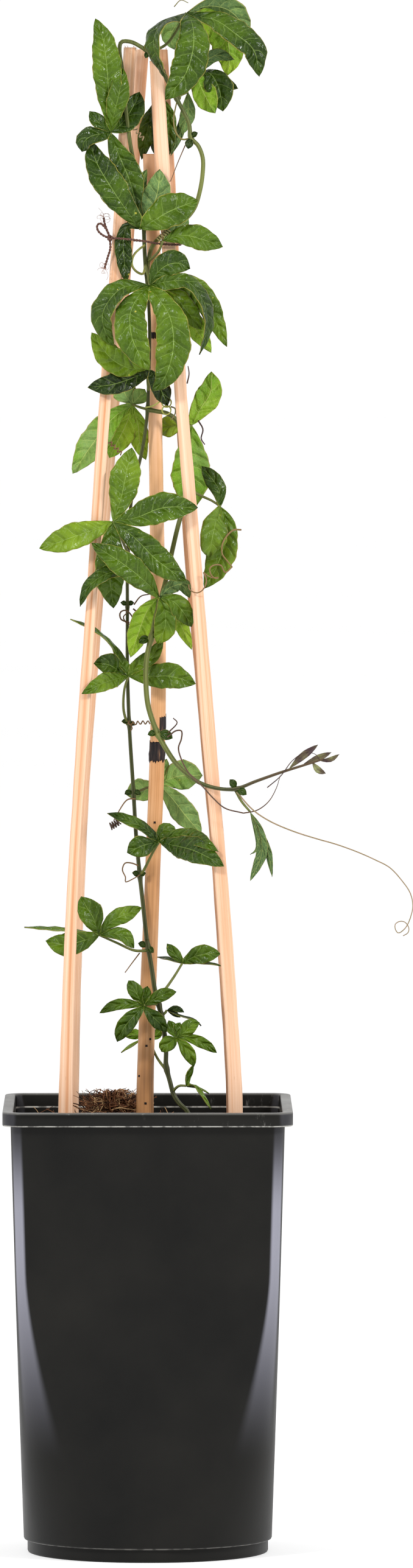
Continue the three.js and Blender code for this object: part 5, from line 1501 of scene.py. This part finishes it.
# %% Threads round the lower stem
thread([(-4.2, -9, 312.8), (-8.3, -11, 307.5), (-11.8, -12, 302.8)], 0.35)
thread([(-4.9, -8, 358.3), (-8.3, -10, 359.7), (-11.8, -11, 359.7), (-13.1, -11, 356.2), (-11.5, -11, 352.4),
        (-11.5, -10, 349.9), (-7.7, -9, 351.4), (-3.9, -7, 353.5)], 0.4)
thread([(-6.4, -7, 393.1), (-10.6, -9, 392.6), (-15.6, -12, 385.7), (-17.5, -12, 382.3)], 0.4)
spring([(-19.4, -12, 378.8), (-16.6, -12, 380.4), (-15, -12, 381.6)], 4, 1.7, 0.4, 0.1)
spring([(-10.9, -6, 433.1), (-8.7, -8, 432.4), (-3.6, -9, 432.8), (1.2, -9, 432.8)], 5, 0.8, 0.35)
thread([(-9, -7, 432.1), (-8, -8, 429.6), (-9, -8, 428.3)], 0.35)
print("thread faces so far:", len(threads.faces))

# %% Threads round the side shoot
thread([(10.5, -19, 427.8), (15.3, -21, 433.4), (13.2, -21, 435.6)], 0.4, 0.1)
thread([(61.8, -47, 400.8), (68.6, -48, 406.7), (74.9, -48, 414.9), (81.2, -48, 418.9), (86.7, -48, 418),
        (88.5, -48, 415.3)], 0.3, 0.05, 0.15)
thread([(-9.5, -7, 484.7), (-13.8, -8, 486.5), (-14.2, -9, 490), (-11.5, -9.5, 491.2), (-8.5, -8.5, 488.6),
        (-7.5, -7.5, 485.4), (-10, -7, 483.8), (-12.6, -8, 487.5), (-10.5, -9, 490)], 0.45, 0.2)
thread([(-7.1, -9, 494.1), (-3.5, -10, 498.5), (0.9, -11, 499.6)], 0.4, 0.2)
thread([(-7.5, -8, 491.9), (-4.2, -9, 489), (-0.2, -14, 478.1)], 0.45, 0.2)
spring([(-20, -20, 579), (-16.6, -20, 575.8), (-13.4, -20, 572.7)], 4, 0.9, 0.35)
print("thread faces so far:", len(threads.faces))

# %% The hook beside the front cane
thread([(48.6, -17, 533.2), (44.6, -17.5, 533.1), (40.6, -18, 529.4), (38.7, -18.5, 525.4),
        (38.7, -19, 520.7), (41.3, -19.5, 517.1), (43.8, -20, 514.1)], 0.5, 0.35)
thread([(43.8, -20, 514.1), (40.2, -22, 511.2), (38, -24, 514.9), (34.4, -26, 515.2), (32.2, -28, 513.4),
        (32.9, -29, 510.1), (35.5, -29, 508.3), (36.9, -28, 509), (33.6, -29, 508.7), (30.7, -30, 510.1),
        (28.9, -31, 511.6)], 0.42, 0.35)
thread([(28.9, -31, 511.6), (30.4, -31.5, 507.2), (28.5, -32, 502.5), (25.3, -32, 501), (21.6, -32, 502.9),
        (21.3, -31.5, 505.4)], 0.42, 0.3)
print("thread faces so far:", len(threads.faces))

# %% Threads near the tie and the top
thread([(-1, -9, 596.5), (3, -12, 597.5), (6.2, -13, 599.5)], 0.5, 0.9)
for radius, height in ((2.5, 599.2), (2.3, 595.2)):
    ring = []
    for a in np.arange(0, 11, 0.5):
        ring.append((9.8 + radius * math.cos(a), -13.5 - 0.6 * a / 6, height + radius * math.sin(a)))
    thread(ring, 0.42, 0.9)
thread([(12, -13, 597), (14.3, -12.5, 596), (14, -12, 592.5), (12, -12, 590)], 0.42, 0.5)
thread([(-1.1, -9.5, 670), (-2.5, -12, 665.8), (-6.4, -13, 667.6), (-8.2, -14, 671.1), (-7.2, -14, 675.4),
        (-4.6, -13.5, 678.4), (-1.3, -12, 680.8)], 0.7, 0.85, 0.55)
spring([(5.6, -20, 683), (8.1, -21, 685.6), (11, -21, 688.7)], 6, 1.5, 0.4, 0.5)
spring([(-8.3, -15, 743.1), (-5.2, -15, 739.3), (-2, -15, 735.5)], 4, 0.9, 0.35, 0.6)
thread([(19.5, -10, 732.4), (15.7, -12, 723.5), (11.9, -13, 713.7)], 0.3, 0.2, 0.2)
thread([(13.8, -9, 804.2), (17.3, -10, 807.6), (21.1, -11, 806.1)], 0.3, 0.5, 0.2)
thread([(26.2, -8, 589.8), (28.7, -8, 585.1), (27.8, -8, 580.3), (29.7, -8, 577.2)], 0.45, 0.05)
thread([(20.5, -12, 609), (21.5, -13, 614), (21, -12.5, 618)], 0.4, 0.1)
print("tendril faces:", len(threads.faces))

# %% Finish: tendrils
wiry = Finish("tendril", 0.5, 0.3)
grain = wiry.noise(1.0, 3, where=wiry.stretched(700, 700, 200))
look = wiry.scaled(grain, 0.2, wiry.scaled(wiry.tone(), 0.85, -0.02))
wiry_colour = wiry.ramp(
    look,
    (0.12, 62, 44, 42), (0.35, 122, 92, 58), (0.5, 112, 108, 58),
    (0.62, 146, 122, 98), (0.85, 158, 164, 80),
)
TENDRIL_TAN = wiry.finish(wiry_colour, height=grain, depth=0.1)
threads.piece("tendrils", "vine", "vine_green", [TENDRIL_TAN])

# %% [markdown]
# ## Floor and light
# The picture was taken on white paper with soft lights at both sides, and the side of the camera was
# dimmer, as a studio is. A sky whose strength changes with direction does the same: a little brighter at
# the sides, white behind, and dimmer in front, so that dark plastic and dark leaves stay dark. None of it
# is much over white, because a brighter sky would swallow thin tendrils that are seen against it. Two area
# lights give the leaves their small highlights.

# %% Floor
FLOOR_SIZE = 60.0
floor_mesh = bpy.data.meshes.new("floor")
half = FLOOR_SIZE / 2
corners = [(-half, -half, 0), (half, -half, 0), (half, half, 0), (-half, half, 0)]
floor_mesh.from_pydata(corners, [], [(0, 1, 2, 3)])
floor = bpy.data.objects.new("floor", floor_mesh)
bpy.context.collection.objects.link(floor)
paper = Finish("pale_floor", 0.9, Emission_Color=(1, 1, 1, 1), Emission_Strength=0.5)
PALE_PAPER = paper.finish(paper.mixed(paper.noise(2), (0.49, 0.49, 0.49), (0.53, 0.53, 0.53)))
floor_mesh.materials.append(PALE_PAPER)
print("floor:", FLOOR_SIZE, "m square")

# %% The sky and two soft lights
FRONT_STRENGTH, SIDE_STRENGTH, BACK_STRENGTH = 0.72, 0.3, 1.02
SIDE_RANGE, BACK_RANGE = (0.72, 0.95), (-0.3, 0.25)  # shares of the direction where each one rises
world = bpy.data.worlds.new("soft_sky")
bpy.context.scene.world = world
world.use_nodes = True
sky = Net(world.node_tree)
sideways, forward, _ = sky.parts(sky.node("TexCoord").outputs["Generated"])
from_the_sides = sky.span(sky.maths("ABSOLUTE", sideways), *SIDE_RANGE, 0.0, SIDE_STRENGTH, "LINEAR")
front_to_back = sky.span(forward, *BACK_RANGE, FRONT_STRENGTH, BACK_STRENGTH, "LINEAR")
background = sky.tree.nodes["Background"]
background.inputs["Color"].default_value = (1, 1, 1, 1)
sky.tree.links.new(sky.plus(from_the_sides, front_to_back), background.inputs["Strength"])
bpy.context.scene.view_settings.view_transform = "Standard"


LIGHT_SIZE, LIGHT_AIM = 0.4, (0, 0, 0.5)
LIGHTS = (("upper_left_light", (-1.4, -1.8, 1.9), 40), ("upper_right_light", (1.6, -1.2, 1.6), 30))
for name, place, watts in LIGHTS:
    lamp = bpy.data.lights.new(name, "AREA")
    lamp.size = LIGHT_SIZE
    lamp.energy = watts
    turned_to(LIGHT_AIM, place, name, lamp)
print("sky strength in front and behind:", FRONT_STRENGTH, BACK_STRENGTH, "lights:", len(LIGHTS))
